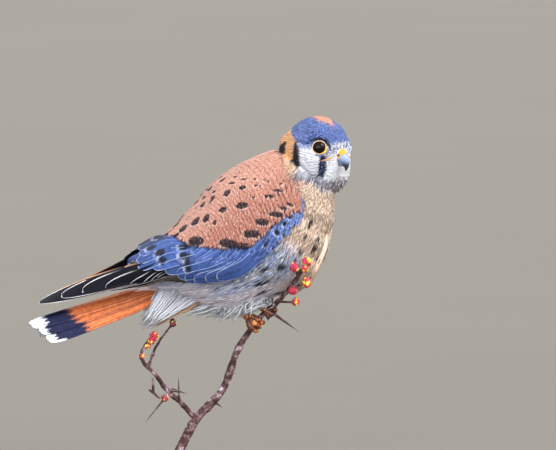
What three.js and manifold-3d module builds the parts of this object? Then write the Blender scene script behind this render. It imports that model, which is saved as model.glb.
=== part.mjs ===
// A life-size male American kestrel gripping a budding thorn twig, on a plain display stand.
// The bird faces +X and looks back over its right side (-Y). Millimetres, +Z up.
// The origin is the centre of the stand's underside.
import * as THREE from 'three';
import { mergeVertices } from 'three/addons/utils/BufferGeometryUtils.js';
import Module from 'manifold-3d';

const wasm = await Module();
wasm.setup();

// Driving dimensions, in millimetres
const GRIP = new THREE.Vector3(20, -2, 110); // where the feet hold the twig, above the stand
const GAP = 0.3; // clear space between neighbours that touch

const HEAD_AT = new THREE.Vector3(39, -4, 105.5); // middle of the head, from the grip
const HEAD_TURN = -56; // degrees, the head looks back over the right side
const HEAD_NOD = 6; // degrees, the bill points a little down
const HEAD_LONG = 20.5;
const HEAD_WIDE = 20.6;
const HEAD_HIGH = 21.5;
const EYE_AT = [11.6, 12.1, 4.6]; // forward, to the side, up
const EYE_RADIUS = 5;
const LID_RADIUS = 4.3;

const TAIL_LONG = 75; // shown length of the middle tail feathers
const TAIL_FEATHERS = 6; // on each side
const FEATHER_THICK = 0.6;
const TOE_RADIUS = 1.7;
const CLAW_RADIUS = 1.1;

const TWIG_CUT = -84; // level of the sawn end, from the grip
const TWIG_END = [-49.6, 6.5]; // middle of the sawn end
const BASE_RADIUS = 56;
const BASE_THICK = 10;
const ROD_RADIUS = 2;

// Outlines of the body, each station as back x, back z, belly x, belly z, half width
const TRUNK = [
  [21, 112.5, 50, 97, 13],
  [11.5, 104, 53, 84, 20.5],
  [-1, 98.5, 52.5, 71, 26.5],
  [-12, 91.5, 50.5, 56, 30],
  [-25, 83.5, 46.5, 41, 33],
  [-35, 72, 36, 25, 34],
  [-46, 58, 14, 16, 32],
  [-56, 45, -16, 6.5, 27],
  [-67, 34, -46, 10, 20],
  [-80, 26, -68, 13, 14],
  [-94, 21, -88, 13, 10],
  [-104, 17, -100, 14, 6],
];

// Folded wings, each station as ridge x, ridge z, side x, side z, half width
const CLOAK = [
  [12, 105, 23, 73, 35],
  [-8, 99.5, 4, 61, 39.5],
  [-25, 88, -12, 52, 40.5],
  [-38, 73, -30, 44, 39],
  [-53, 57, -50, 39, 34],
  [-68, 46, -66, 37, 27.5],
  [-84, 36.5, -82, 32, 22],
  [-105, 28, -104, 25, 15.5],
  [-125, 21.5, -124, 19.5, 10.5],
  [-142, 17, -142, 16.5, 7],
];

// The upper and the lower half of the bill in the head's own frame,
// each station as ridge forward, ridge up, edge forward, edge up, half width
const UPPER_BILL = [
  [14, 6, 13, -4, 5.5],
  [18, 5.2, 17.5, -2.2, 5],
  [21.2, 3.8, 20, -2.8, 4.1],
  [23.6, 1.4, 21.4, -3.8, 3.3],
  [24.8, -2, 22.2, -5, 2.4],
  [24.7, -5.6, 22.8, -6.6, 1.5],
  [23.7, -9.2, 23.2, -9.3, 0.45],
];
const LOWER_BILL = [
  [12, -4, 12, -8.5, 4.6],
  [17, -3.4, 17, -8, 3.8],
  [20, -4.2, 20, -7.6, 2.6],
  [21.8, -5.4, 21.6, -7, 1.3],
];

const radians = THREE.MathUtils.degToRad;
const mix = THREE.MathUtils.lerp;
const vector = (x, y, z) => new THREE.Vector3(x, y, z);

// Turns a closed three.js geometry into a solid, with its faces pointing out
function solid(geometry) {
  const bare = geometry.clone();
  bare.deleteAttribute('normal');
  bare.deleteAttribute('uv');
  const merged = mergeVertices(bare, 1e-4);
  const points = Float32Array.from(merged.attributes.position.array);
  const corners = merged.index.array;
  const faces = [];
  const [a, b, c] = [vector(), vector(), vector()];
  let volume = 0;
  for (let i = 0; i < corners.length; i += 3) {
    const face = [corners[i], corners[i + 1], corners[i + 2]];
    if (face[0] === face[1] || face[1] === face[2] || face[2] === face[0]) continue;
    a.fromArray(points, face[0] * 3);
    b.fromArray(points, face[1] * 3);
    c.fromArray(points, face[2] * 3);
    volume += a.dot(b.cross(c));
    faces.push(face);
  }
  const triVerts = Uint32Array.from(faces.flatMap((f) => (volume < 0 ? [f[0], f[2], f[1]] : f)));
  return new wasm.Manifold(new wasm.Mesh({ numProp: 3, vertProperties: points, triVerts }));
}

const join = (solids) => wasm.Manifold.union(solids);

// Keeps the largest closed surface of a solid, with no hollow sealed inside it
function largest(piece) {
  let best = null;
  for (const part of piece.decompose()) {
    if (!best || part.volume() > best.volume()) best = part;
  }
  return best;
}

// Tells whether every edge joins exactly two faces once points at the same final place are one
function isSound(piece) {
  const { vertProperties, triVerts } = piece.getMesh();
  const place = (i) => Array.from(vertProperties.slice(3 * i, 3 * i + 3), (x) => x.toFixed(3)).join();
  const names = Array.from({ length: vertProperties.length / 3 }, (_, i) => place(i));
  const shared = new Map();
  triVerts.forEach((a, i) => {
    const b = triVerts[i % 3 === 2 ? i - 2 : i + 1];
    const edge = [names[a], names[b]].sort().join('|');
    shared.set(edge, (shared.get(edge) ?? 0) + 1);
  });
  return [...shared.values()].every((count) => count === 2);
}

// Drops the splinters that a join leaves, then loose scraps
const SPLINTERS = [0.1, 0.09, 0.08, 0.07, 0.06, 0.05, 0.04, 0.02];
function tidy(piece) {
  const tries = SPLINTERS.map((size) => () => largest(piece.asOriginal().simplify(size)));
  const sound = tries.find((attempt) => isSound(attempt()));
  return (sound ?? tries[0])();
}

// Bends a sphere so that it runs along a list of stations, closed and rounded at both ends
function loftAlong(stations) {
  const middle = (row, i, k) => new THREE.Vector2(row[i], row[k]);
  const top = new THREE.SplineCurve(stations.map((row) => middle(row, 0, 1)));
  const low = new THREE.SplineCurve(stations.map((row) => middle(row, 2, 3)));
  const half = new THREE.SplineCurve(stations.map((row) => new THREE.Vector2(row[4], 0)));
  return (t, angle, out = 0, keel = 1) => {
    const a = top.getPoint(t);
    const b = low.getPoint(t);
    const wide = half.getPoint(t).x;
    const tall = a.distanceTo(b) / 2;
    const end = Math.sqrt(Math.max(0, 1 - Math.abs(2 * t - 1) ** 6));
    const up = a.clone().sub(b).normalize();
    const centre = a.clone().add(b).multiplyScalar(0.5);
    const rise = Math.cos(angle) * (tall + out) * end;
    const sharp = rise < 0 ? keel : 1;
    const side = Math.sign(Math.sin(angle)) * Math.abs(Math.sin(angle)) ** sharp * (wide + out) * end;
    return vector(centre.x + up.x * rise, side, centre.y + up.y * rise);
  };
}

// Moves every point of a geometry through a function of its place
function reshape(geometry, place) {
  const points = geometry.attributes.position;
  for (let i = 0; i < points.count; i += 1) {
    const moved = place(vector().fromBufferAttribute(points, i));
    points.setXYZ(i, moved.x, moved.y, moved.z);
  }
  return geometry;
}

function loft(stations, around, along, out = 0, keel = 1) {
  const surface = loftAlong(stations);
  const ball = new THREE.SphereGeometry(1, around, along);
  return reshape(ball, (p) => {
    const t = Math.acos(THREE.MathUtils.clamp(p.y, -1, 1)) / Math.PI;
    return surface(t, Math.atan2(p.z, p.x), out, keel);
  });
}

// A tube with flat ends along a smooth curve, thickness given along its length
function tube(points, radius, sides, steps) {
  const curve = new THREE.CatmullRomCurve3(points);
  const frames = curve.computeFrenetFrames(steps);
  const cylinder = new THREE.CylinderGeometry(1, 1, 1, sides, steps);
  return reshape(cylinder, (p) => {
    const u = THREE.MathUtils.clamp(p.y + 0.5, 0, 1);
    const i = Math.round(u * steps);
    const r = radius(u);
    return curve.getPointAt(u)
      .addScaledVector(frames.normals[i], p.x * r)
      .addScaledVector(frames.binormals[i], p.z * r);
  });
}

// A thin closed sheet whose two faces are split into triangles alike
function sheet(lengthSteps, widthSteps, place) {
  const plane = new THREE.PlaneGeometry(1, 1, lengthSteps, widthSteps);
  const grid = plane.attributes.position;
  const count = grid.count;
  const positions = [];
  for (const side of [1, -1]) {
    for (let i = 0; i < count; i += 1) {
      positions.push(...place(grid.getX(i) + 0.5, 2 * grid.getY(i), side).toArray());
    }
  }
  const face = Array.from(plane.index.array);
  const back = [];
  for (let i = 0; i < face.length; i += 3) {
    back.push(face[i] + count, face[i + 2] + count, face[i + 1] + count);
  }
  const row = lengthSteps + 1;
  const loop = [];
  for (let i = 0; i < lengthSteps; i += 1) loop.push(i);
  for (let j = 0; j < widthSteps; j += 1) loop.push(lengthSteps + row * j);
  for (let i = lengthSteps; i > 0; i -= 1) loop.push(i + row * widthSteps);
  for (let j = widthSteps; j > 0; j -= 1) loop.push(row * j);
  const rim = loop.flatMap((a, i) => {
    const b = loop[(i + 1) % loop.length];
    return [a, b, b + count, a, b + count, a + count];
  });
  const geometry = new THREE.BufferGeometry();
  geometry.setAttribute('position', new THREE.Float32BufferAttribute(positions, 3));
  geometry.setIndex([...face, ...back, ...rim]);
  return geometry;
}

// Colours and finishes
const finish = (color, roughness, metalness = 0) =>
  new THREE.MeshStandardMaterial({ color, roughness, metalness });
const FINISH = {
  slate: finish('#6f7f9c', 0.85),
  rufous: finish('#c9764a', 0.85),
  buff: finish('#dfb48e', 0.9),
  white: finish('#e9e6e2', 0.9),
  tail: finish('#c05f2c', 0.85),
  horn: finish('#7f8c9e', 0.35),
  yellow: finish('#e59a2a', 0.55),
  black: finish('#16151a', 0.3),
  eye: finish('#120d0a', 0.08),
  bark: finish('#5b4038', 0.8),
  base: finish('#3a2c25', 0.5),
  rod: finish('#b08d57', 0.35, 1),
};

const bird = new THREE.Group();
bird.position.copy(GRIP);

function addPiece(name, piece, material) {
  const mesh = piece.getMesh();
  const geometry = new THREE.BufferGeometry();
  geometry.setAttribute('position', new THREE.BufferAttribute(mesh.vertProperties, 3));
  geometry.setIndex(new THREE.BufferAttribute(mesh.triVerts, 1));
  geometry.computeVertexNormals();
  const made = new THREE.Mesh(geometry, material);
  made.name = name;
  bird.add(made);
}

// Trunk: neck, torso and tail root are one form, parted by thin cuts
const BELLY_KEEL = 1.3;
const trunk = solid(loft(TRUNK, 26, 26, 0, BELLY_KEEL));
const trunkRoom = solid(loft(TRUNK, 26, 26, GAP, BELLY_KEEL));

function above(piece, normal, point, lift) {
  const n = normal.clone().normalize();
  return piece.trimByPlane(n.toArray(), n.dot(point) + lift);
}

function below(piece, normal, point, lift) {
  const n = normal.clone().normalize().negate();
  return piece.trimByPlane(n.toArray(), n.dot(point) + lift);
}

const NECK_AT = vector(0, 0, 100);
const NECK_UP = vector(0.487, 0, 0.874);
const RUMP_AT = vector(-67, 0, 24);
const RUMP_BACK = vector(-0.966, 0, -0.259);

// Head
const turn = radians(HEAD_TURN);
const nod = radians(HEAD_NOD);
const FORWARD = vector(Math.cos(turn) * Math.cos(nod), Math.sin(turn) * Math.cos(nod), -Math.sin(nod));
const LEFT = vector(-Math.sin(turn), Math.cos(turn), 0);
const CROWN = FORWARD.clone().cross(LEFT);

const onHead = (p) => HEAD_AT.clone()
  .addScaledVector(FORWARD, p.x)
  .addScaledVector(LEFT, p.y)
  .addScaledVector(CROWN, p.z);

function swell(direction, x, y, z, spread, height) {
  const near = direction.angleTo(vector(x, y, z));
  return height * Math.exp(-((near / spread) ** 2));
}

// Distance from the middle of the head to its surface, in a given direction
function headReach(d) {
  const oval = 1 / Math.hypot(d.x / HEAD_LONG, d.y / HEAD_WIDE, d.z / HEAD_HIGH);
  let reach = oval;
  for (const side of [-1, 1]) {
    reach += swell(d, 0.5, 0.7 * side, 0.62, 0.3, 0.9); // brow
    reach += swell(d, 0.1, 0.8 * side, -0.55, 0.6, 1.4); // cheek
    reach -= swell(d, 0.67, 0.7 * side, 0.26, 0.3, 1.2); // eye hollow
  }
  reach += swell(d, 0.35, 0, -0.95, 0.5, 1.6); // throat
  reach -= swell(d, 0.75, 0, 0.75, 0.5, 0.8); // sloping forehead
  return reach;
}

const headPoint = (d, out = 0) => onHead(d.clone().multiplyScalar(headReach(d) + out));

function headForm(out) {
  const ball = new THREE.SphereGeometry(1, 28, 18);
  return solid(reshape(ball, (p) => headPoint(vector(p.x, p.z, p.y).normalize(), out)));
}

const eyeMiddle = (side) => onHead(vector(EYE_AT[0], EYE_AT[1] * side, EYE_AT[2]));

function ballAt(middle, radius, around, along) {
  const ball = new THREE.SphereGeometry(radius, around, along);
  return solid(reshape(ball, (p) => p.add(middle)));
}

// A lid is a soft ring that lies on the face round the opening of the eye
function lid(side) {
  const ring = new THREE.TorusGeometry(LID_RADIUS, 0.75, 5, 16);
  const outward = onHead(vector(0.62, 0.75 * side, 0.16).multiplyScalar(30)).sub(HEAD_AT).normalize();
  const turned = new THREE.Quaternion().setFromUnitVectors(vector(0, 0, 1), outward);
  const seat = eyeMiddle(side).addScaledVector(outward, 3.1);
  return solid(reshape(ring, (p) => p.applyQuaternion(turned).add(seat)));
}

// The lips run from the root of the bill back under the eye as a narrow raised line
function lip(side) {
  const run = [0, 1, 2, 3].map((i) => {
    const d = vector(mix(0.98, 0.66, i / 3), mix(0.2, 0.66, i / 3) * side, mix(-0.14, -0.33, i / 3));
    return headPoint(d.normalize(), 0.1);
  });
  return solid(tube(run, (u) => mix(0.9, 0.5, u), 5, 4));
}

const headRoom = headForm(GAP);
let head = join([headForm(0), lid(-1), lid(1), lip(-1), lip(1)]);
for (const side of [-1, 1]) {
  head = head.subtract(ballAt(eyeMiddle(side), EYE_RADIUS + GAP, 14, 10));
}
addPiece('head', tidy(head), FINISH.slate);
for (const [name, side] of [['eye_right', -1], ['eye_left', 1]]) {
  addPiece(name, ballAt(eyeMiddle(side), EYE_RADIUS, 14, 8), FINISH.eye);
}

// Bill: the cere and nostrils, the hooked upper half and the short lower half
const CERE_AT = vector(20.6, 0, 1);
const CERE_FORWARD = vector(0.93, 0, -0.36);
const billForm = (stations, out, along) => solid(loft(stations, 12, along, out));
const toHead = (piece) => piece.warp((p) => {
  const moved = onHead(vector(p[0], p[1], p[2]));
  p[0] = moved.x;
  p[1] = moved.y;
  p[2] = moved.z;
});

function nostril(side) {
  const hole = [vector(18.8, 6 * side, 1.2), vector(19.4, 2.6 * side, 0.9)];
  return solid(tube(hole, () => 0.75, 8, 1));
}

function nostrilRim(side) {
  const rim = new THREE.TorusGeometry(0.95, 0.35, 5, 10);
  return solid(reshape(rim, (p) => vector(19.2 + p.x, 4.4 * side + p.z, 1.1 + p.y)));
}

const upperBill = billForm(UPPER_BILL, 0, 14);
let cere = below(upperBill, CERE_FORWARD, CERE_AT, GAP / 2);
cere = join([cere, nostrilRim(-1), nostrilRim(1)]);
cere = cere.subtract(nostril(-1)).subtract(nostril(1));
addPiece('cere', largest(toHead(cere).subtract(headRoom)), FINISH.yellow);
const billTip = above(upperBill, CERE_FORWARD, CERE_AT, GAP / 2);
addPiece('bill_upper', largest(toHead(billTip).subtract(headRoom)), FINISH.horn);
const lowerBill = billForm(LOWER_BILL, 0, 8).subtract(billForm(UPPER_BILL, GAP, 14));
addPiece('bill_lower', largest(toHead(lowerBill).subtract(headRoom)), FINISH.horn);

// Neck and torso, the torso with a socket for each feathered leg
const neck = above(trunk, NECK_UP, NECK_AT, GAP / 2).subtract(headRoom);
addPiece('neck', tidy(neck), FINISH.buff);
let torso = below(below(trunk, NECK_UP, NECK_AT, GAP / 2), RUMP_BACK, RUMP_AT, GAP / 2);

// Feathers: each vane is a thin closed sheet that bends along the surface it grows from
const fraction = (x) => x - Math.floor(x);
const chance = (number) => fraction(Math.sin(number * 12.9898) * 43758.5453);

const roundTip = (u) => Math.min(1, 0.55 + 1.5 * u) * Math.sqrt(1 - u ** 6) + 0.22 * u ** 8;

function vane({ line, outward, inner, outer, roll = 0, steps = 4, thick = FEATHER_THICK, hand = 1 }) {
  const nearly = 0.02;
  return solid(sheet(steps, 1, (w, v, face) => {
    const u = Math.sin((w * Math.PI) / 2);
    const middle = line(u);
    const along = line(Math.min(1, u + nearly)).sub(line(Math.max(0, u - nearly))).normalize();
    const up = outward(u);
    const across = along.clone().cross(up).normalize().multiplyScalar(hand);
    const web = (v < 0 ? inner : outer) * v * roundTip(u);
    return middle
      .addScaledVector(across, web)
      .addScaledVector(up, roll * web + (face * mix(thick, 0.5, u)) / 2);
  }));
}

// Folded wings: a smooth core, and tiers of feathers laid along it from root to tip
const cloakLine = (i, k) => new THREE.SplineCurve(CLOAK.map((row) => new THREE.Vector2(row[i], row[k])));
const ridgeLine = cloakLine(0, 1);
const sideLine = cloakLine(2, 3);
const widthLine = cloakLine(4, 4);

function cloakPoint(t, degrees) {
  const ridge = ridgeLine.getPoint(t);
  const low = sideLine.getPoint(t);
  const rise = Math.cos(radians(degrees));
  const wide = widthLine.getPoint(t).x * Math.sin(radians(degrees));
  return vector(mix(low.x, ridge.x, rise), wide, mix(low.y, ridge.y, rise));
}

function cloakOut(t, degrees) {
  const backward = cloakPoint(Math.min(1, t + 0.01), degrees).sub(cloakPoint(t - 0.01, degrees));
  const downward = cloakPoint(t, degrees + 1).sub(cloakPoint(t, degrees - 1));
  const outward = backward.cross(downward).normalize();
  return outward.y < 0 ? outward.negate() : outward;
}

// A place on the wing: station along it, degrees down from the ridge, and height over its surface
function onCloak(station, degrees, lift) {
  const t = THREE.MathUtils.clamp(station / (CLOAK.length - 1), 0.01, 1);
  return cloakPoint(t, degrees).addScaledVector(cloakOut(t, degrees), lift);
}

const MID_CLEAR = 0.4; // the two wings keep this far from the middle plane
const DROOP = 3.2; // the far wing's tip hangs a little lower
const DROOP_FROM = -45;
const DROOP_OVER = 45;
const ROOT_SUNK = -1.6;

function wingFeather(root, tip, lift, look) {
  const place = (u) => [mix(root[0], tip[0], u), mix(root[1], tip[1], u)];
  const line = (u) => onCloak(...place(u), mix(ROOT_SUNK, lift, Math.min(1, u * 2.6)));
  const outward = (u) => {
    const [station, degrees] = place(u);
    return cloakOut(THREE.MathUtils.clamp(station / (CLOAK.length - 1), 0.01, 1), degrees);
  };
  return vane({ line, outward, ...look });
}

// Rows of feathers, each from its first tip to its last, as [station, degrees] on the wing
const WING_ROWS = [
  { count: 6, from: [9, 82], to: [6.4, 86], back: [3.6, -2], lift: 0.3, rise: 0.62, webs: [10.5, 3.6], steps: 5 },
  { count: 4, from: [6.15, 84], to: [5.6, 28], back: [2.6, 0], lift: 1.6, webs: [8, 6.5], roll: 0.11 },
  { count: 2, from: [4.9, 36], to: [5, 14], back: [2, 0], lift: 2.6, webs: [7, 7], roll: 0.11 },
  { count: 4, from: [3.1, 100], to: [4.85, 92], back: [1.5, 3], lift: 2.2, webs: [8, 5], roll: 0.12 },
  { count: 3, from: [4.7, 78], to: [4.3, 46], back: [1.5, 2], lift: 2.6, webs: [8, 7], roll: 0.11 },
  { count: 4, from: [2.1, 96], to: [3.3, 58], back: [1.1, 4], lift: 3, webs: [8, 8], roll: 0.1 },
  { count: 4, from: [1.7, 58], to: [4.2, 30], back: [1.2, 8], lift: 3.8, webs: [9, 9], roll: 0.1 },
];
const TIP_SCATTER = 0.12;

function wingCore() {
  return solid(sheet(16, 6, (u, v, face) => {
    const station = mix(0.15, 6.3, u);
    const degrees = mix(12, mix(99, 84, u), (v + 1) / 2);
    const thick = mix(8, 2.6, Math.sqrt(u));
    return onCloak(station, degrees, face > 0 ? 0 : -thick);
  }));
}

function wing(seed, reach) {
  const pieces = [wingCore()];
  WING_ROWS.forEach((row, tier) => {
    for (let i = 0; i < row.count; i += 1) {
      const share = i / (row.count - 1);
      const scatter = TIP_SCATTER * (chance(seed + tier * 17 + i) - 0.5);
      const far = mix(row.from[0], row.to[0], share) * reach + scatter;
      const tip = [far, mix(row.from[1], row.to[1], share)];
      const root = [tip[0] - row.back[0], tip[1] - row.back[1]];
      const lift = row.lift + i * (row.rise ?? 0);
      const look = { inner: row.webs[0], outer: row.webs[1], roll: row.roll ?? 0, steps: row.steps ?? 3 };
      pieces.push(wingFeather(root, tip, lift, look));
    }
  });
  return join(pieces).trimByPlane([0, 1, 0], MID_CLEAR);
}

for (const [name, side, reach, droop] of [['wing_right', -1, 1, 0], ['wing_left', 1, 0.97, DROOP]]) {
  const made = wing(3 + side, reach).warp((p) => {
    p[2] -= droop * THREE.MathUtils.smoothstep(DROOP_FROM - p[0], 0, DROOP_OVER);
  });
  const placed = side < 0 ? made.mirror([0, 1, 0]) : made;
  addPiece(name, tidy(placed.subtract(trunkRoom).subtract(headRoom)), FINISH.slate);
}

// Tail: long feathers in a tented fan, the middle pair on top, their roots under short coverts
const TAIL_BACK = vector(-0.966, 0, -0.259);
const TAIL_ROOT = vector(-72, 0, 25.5);
const TENT = radians(44);

function tailFeather(side, far, out, lift, look) {
  const slope = vector(0, side * Math.cos(TENT), -Math.sin(TENT));
  const up = vector(0, side * Math.sin(TENT), Math.cos(TENT));
  const line = (u) => TAIL_ROOT.clone()
    .addScaledVector(TAIL_BACK, mix(far[0], far[1], u))
    .addScaledVector(slope, mix(out[0], out[1], u))
    .addScaledVector(up, mix(lift[0], lift[1], u));
  return vane({ line, outward: () => up, hand: side, ...look });
}

const tailPieces = [above(trunk, RUMP_BACK, RUMP_AT, GAP / 2)];
for (const side of [-1, 1]) {
  for (let k = 0; k < TAIL_FEATHERS; k += 1) {
    const far = [8, TAIL_LONG - 1.6 * k - 2 * chance(k + side)];
    const look = { inner: k ? 6.5 : 1.5, outer: 5, roll: 0.27, steps: 4 };
    tailPieces.push(tailFeather(side, far, [1.8 + 0.7 * k, 1.9 + 2.8 * k], [-2.2, -0.6], look));
  }
  for (let k = 0; k < 2; k += 1) {
    const look = { inner: k ? 6 : 2.2, outer: 6, roll: 0.2, steps: 3 };
    tailPieces.push(tailFeather(side, [4, 42 - 6 * k], [2.6 + 4 * k, 2.6 + 5 * k], [1, 1.3], look));
  }
}
addPiece('tail', tidy(join(tailPieces)), FINISH.tail);

// Twig: one main stem from the sawn end to the tip, with buds and a long thorn, and a side twig
const route = (...points) => points.map((p) => vector(...p));
const TWIG = route(
  [-51.4, 6.9, -88], [-47.1, 6, -78.5], [-37, 4, -59.4], [-26.6, 2, -48.4], [-20.1, 0, -39.7],
  [-14.3, -2, -21.7], [-10.7, -3, -13.6], [-5.5, -3, -6.3], [-1.3, -4, 0.4], [3.9, -8, 6.5],
  [8.4, -14, 12.4], [12.6, -23, 20.5], [16.9, -32, 30.6], [20.8, -38, 40.4],
);
const SIDE_TWIG = route(
  [-38.6, 3.6, -57.8], [-47.7, 1, -48.2], [-56.8, -1, -40.3], [-65.9, -3, -28.6],
  [-73.7, -5, -21.3], [-75.3, -6, -16.2], [-72.4, -7, -10], [-68.5, -8, -7],
);
const SIDE_BRANCHES = [
  route([-69.5, -4, -24], [-66.9, -6, -14.3], [-63.3, -7, -7.8], [-57.8, -8, -0.4], [-55.5, -8, 2]),
  route([-56.8, -1, -41], [-61, -1, -44.5], [-66.2, -2, -41], [-69.4, -2, -38.6]),
  route([-66, -2, -41], [-66.6, -2.4, -36], [-66.9, -3, -31.5]),
];
const BUDS = [
  [13.6, -36.2, 37.4], [20.8, -38.6, 40.8], [19.6, -38.4, 36.6], [22.1, -34.4, 27.6],
  [15.2, -28.4, 22.2], [18.4, -24, 14.8],
];
const BUD_STALKS = [
  { from: [17.2, -32.6, 31.4], to: [13.8, -35.8, 36.6] }, { from: [14.2, -26.6, 24], to: [21.6, -34, 27] },
  { from: [9.6, -16, 14.2], to: [17.8, -23.6, 14.4] },
];
const SIDE_BUDS = [[-67.3, -8, -5.2], [-69.4, -7.6, -8.2], [-58.4, -1.2, -44.4], [-55.3, -8, 2.8]];
const THORNS = [
  { from: [9.6, -12.4, 6.6], to: [24.4, -16, -6], radius: 1.1 },
  { from: [-26, 2, -48.6], to: [-20.6, 2, -52.6], radius: 1.2 },
];
const SIDE_THORNS = [
  { from: [-60.4, -1, -46], to: [-71.7, -3, -59.4], radius: 1 },
  { from: [-48.8, 1, -47], to: [-49, 1, -32], radius: 0.9 },
  { from: [-56.2, -1, -40.2], to: [-43.8, -3, -42.3], radius: 0.8 },
];
const BUD_RADIUS = 2.3;
const twigCurve = new THREE.CatmullRomCurve3(TWIG);
const KNOTS = [0.165, 0.27, 0.42, 0.53]; // where the stem swells, as a share of its length
const twigRadius = (u) => 1.3 + 2 * (1 - u) ** 1.3
  + KNOTS.reduce((sum, knot) => sum + 0.5 * Math.exp(-(((u - knot) / 0.02) ** 2)), 0);

function bud(middle, seed, out) {
  const ball = new THREE.SphereGeometry(1, 6, 4);
  const wide = BUD_RADIUS * (0.85 + 0.3 * chance(seed)) + out;
  return solid(reshape(ball, (p) => vector(...middle).add(vector(p.x * wide, p.z * wide, p.y * wide * 1.25))));
}

function spike({ from, to, radius = 1 }, blunt, out) {
  const [a, b] = [vector(...from), vector(...to)];
  return solid(tube([a, a.clone().lerp(b, 0.5), b], (u) => mix(radius, blunt, u) + out, 5, 2));
}

const perchForm = (out) => join([
  solid(tube(TWIG, (u) => twigRadius(u) + out, 8, 34)),
  ...BUDS.map((middle, i) => bud(middle, i, out)),
  ...BUD_STALKS.map((stalk) => spike(stalk, 0.8, out)),
  ...THORNS.map((thorn) => spike(thorn, 0.15, out)),
]);
const perchRoom = perchForm(GAP);
addPiece('perch_twig', tidy(perchForm(0).trimByPlane([0, 0, 1], TWIG_CUT)), FINISH.bark);
const sideTwig = join([
  solid(tube(SIDE_TWIG, (u) => mix(1.9, 1.1, u), 6, 14)),
  ...SIDE_BRANCHES.map((branch) => solid(tube(branch, (u) => mix(1.1, 0.8, u), 5, 5))),
  ...SIDE_BUDS.map((middle, i) => bud(middle, i + BUDS.length, 0)),
  ...SIDE_THORNS.map((thorn) => spike(thorn, 0.15, 0)),
]);
addPiece('perch_side_twig', tidy(sideTwig.subtract(perchRoom)), FINISH.bark);

// Legs and feet: each foot wraps the twig, three toes over its own side and one over the other
const BELLY_WAY = vector(-0.55, 0, 0.83);
const TOE_APART = 3.3;
const FEET = [
  { name: 'right', at: 0.71, wrap: -1, thigh: vector(1.5, -3, 5), wide: 7 },
  { name: 'left', at: 0.642, wrap: 1, thigh: vector(-2, 3.5, 4), wide: 7.6 },
];

const sockets = [perchRoom];
for (const foot of FEET) {
  const middle = twigCurve.getPointAt(foot.at);
  const run = twigCurve.getTangentAt(foot.at);
  const up = BELLY_WAY.clone().addScaledVector(run, -BELLY_WAY.dot(run)).normalize();
  const near = up.clone().cross(run).normalize();
  if (near.y > 0) near.negate();
  const round = (degrees, reach, shift) => middle.clone()
    .addScaledVector(up, Math.cos(radians(degrees)) * reach)
    .addScaledVector(near, Math.sin(radians(degrees)) * reach)
    .addScaledVector(run, shift);
  const hug = twigRadius(foot.at) + GAP + TOE_RADIUS + 0.2;
  const ankle = round(0, hug + 1.5, 0);
  const knee = round(0, hug + 5, 0);
  const cuff = knee.clone().addScaledVector(up, GAP);
  const shank = [1, 0.5, 0].map((share) => cuff.clone()
    .addScaledVector(up, 15 * share)
    .addScaledVector(foot.thigh, share));
  const thick = (u) => mix(foot.wide, 4.3, u);
  let leg = solid(tube(shank, thick, 12, 7));
  leg = above(leg, up, cuff, 0);
  const last = shank.length - 1;
  const wider = shank.map((p) => p.clone());
  wider[0].add(shank[0].clone().sub(shank[1]).setLength(GAP));
  wider[last].add(shank[last].clone().sub(shank[last - 1]).setLength(GAP));
  sockets.push(solid(tube(wider, (u) => thick(u) + GAP, 12, 7)), ballAt(ankle, hug + 1.5, 12, 8));
  addPiece(`leg_${foot.name}`, leg, FINISH.white);
  const pieces = [solid(tube([ankle, knee], () => 2.3, 10, 1))];
  const toes = [
    { turn: foot.wrap, end: 165, shift: -TOE_APART },
    { turn: foot.wrap, end: 175, shift: 0 },
    { turn: foot.wrap, end: 160, shift: TOE_APART },
    { turn: -foot.wrap, end: 110, shift: TOE_APART / 2 },
  ];
  toes.forEach((toe, number) => {
    const along = (degrees) => round(
      degrees * toe.turn,
      hug + 1.4 * Math.exp(-degrees / 30),
      toe.shift * Math.min(1, degrees / 60),
    );
    const path = [0, 0.2, 0.4, 0.6, 0.8, 1].map((u) => along(u * toe.end));
    pieces.push(solid(tube(path, (u) => mix(1.8, 1.3, u), 6, 7)));
    const claw = [0, 1, 2, 3].map((i) => round(
      (toe.end + 5 + 14 * i) * toe.turn,
      hug + 0.25 * i,
      toe.shift,
    ));
    addPiece(`claw_${foot.name}_${number + 1}`, solid(tube(claw, (u) => mix(CLAW_RADIUS, 0.2, u), 5, 4)),
      FINISH.black);
  });
  addPiece(`foot_${foot.name}`, tidy(join(pieces)), FINISH.yellow);
}

const body = loftAlong(TRUNK);
const onTrunk = (t, degrees, out) => body(t, radians(degrees), out, BELLY_KEEL);

function bellyLock({ at, degrees, hang, wide }) {
  const root = onTrunk(at, degrees, -wide);
  const tip = onTrunk(at, degrees, 0).add(vector(...hang));
  const middle = root.clone().lerp(tip, 0.45).add(onTrunk(at, degrees, 3)).sub(onTrunk(at, degrees, 1.5));
  return solid(tube([root, middle, tip], (u) => mix(wide, 0.3, u ** 1.4), 5, 4));
}

// Loose white feathers under the tail and round the legs: place on the trunk, and how they hang
const BELLY_LOCKS = [
  { at: 0.77, degrees: 190, hang: [-17, -3, -13], wide: 4 },
  { at: 0.74, degrees: 198, hang: [-15, -2, -9], wide: 4 },
  { at: 0.76, degrees: 172, hang: [-17, 2, -12], wide: 4 },
  { at: 0.7, degrees: 184, hang: [-15, 0, -7], wide: 4 },
  { at: 0.66, degrees: 200, hang: [-13, -1, -2], wide: 4.2 },
  { at: 0.65, degrees: 162, hang: [-13, 1, -2], wide: 4.2 },
  { at: 0.57, degrees: 206, hang: [-7, -1, -4], wide: 4.2 },
  { at: 0.56, degrees: 154, hang: [-7, 1, -4], wide: 4.2 },
];
const locks = join(BELLY_LOCKS.map(bellyLock)).subtract(above(trunkRoom, RUMP_BACK, RUMP_AT, -GAP / 2));
torso = join([torso, locks]).subtract(join(sockets));
addPiece('torso', tidy(torso), FINISH.buff);

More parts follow.
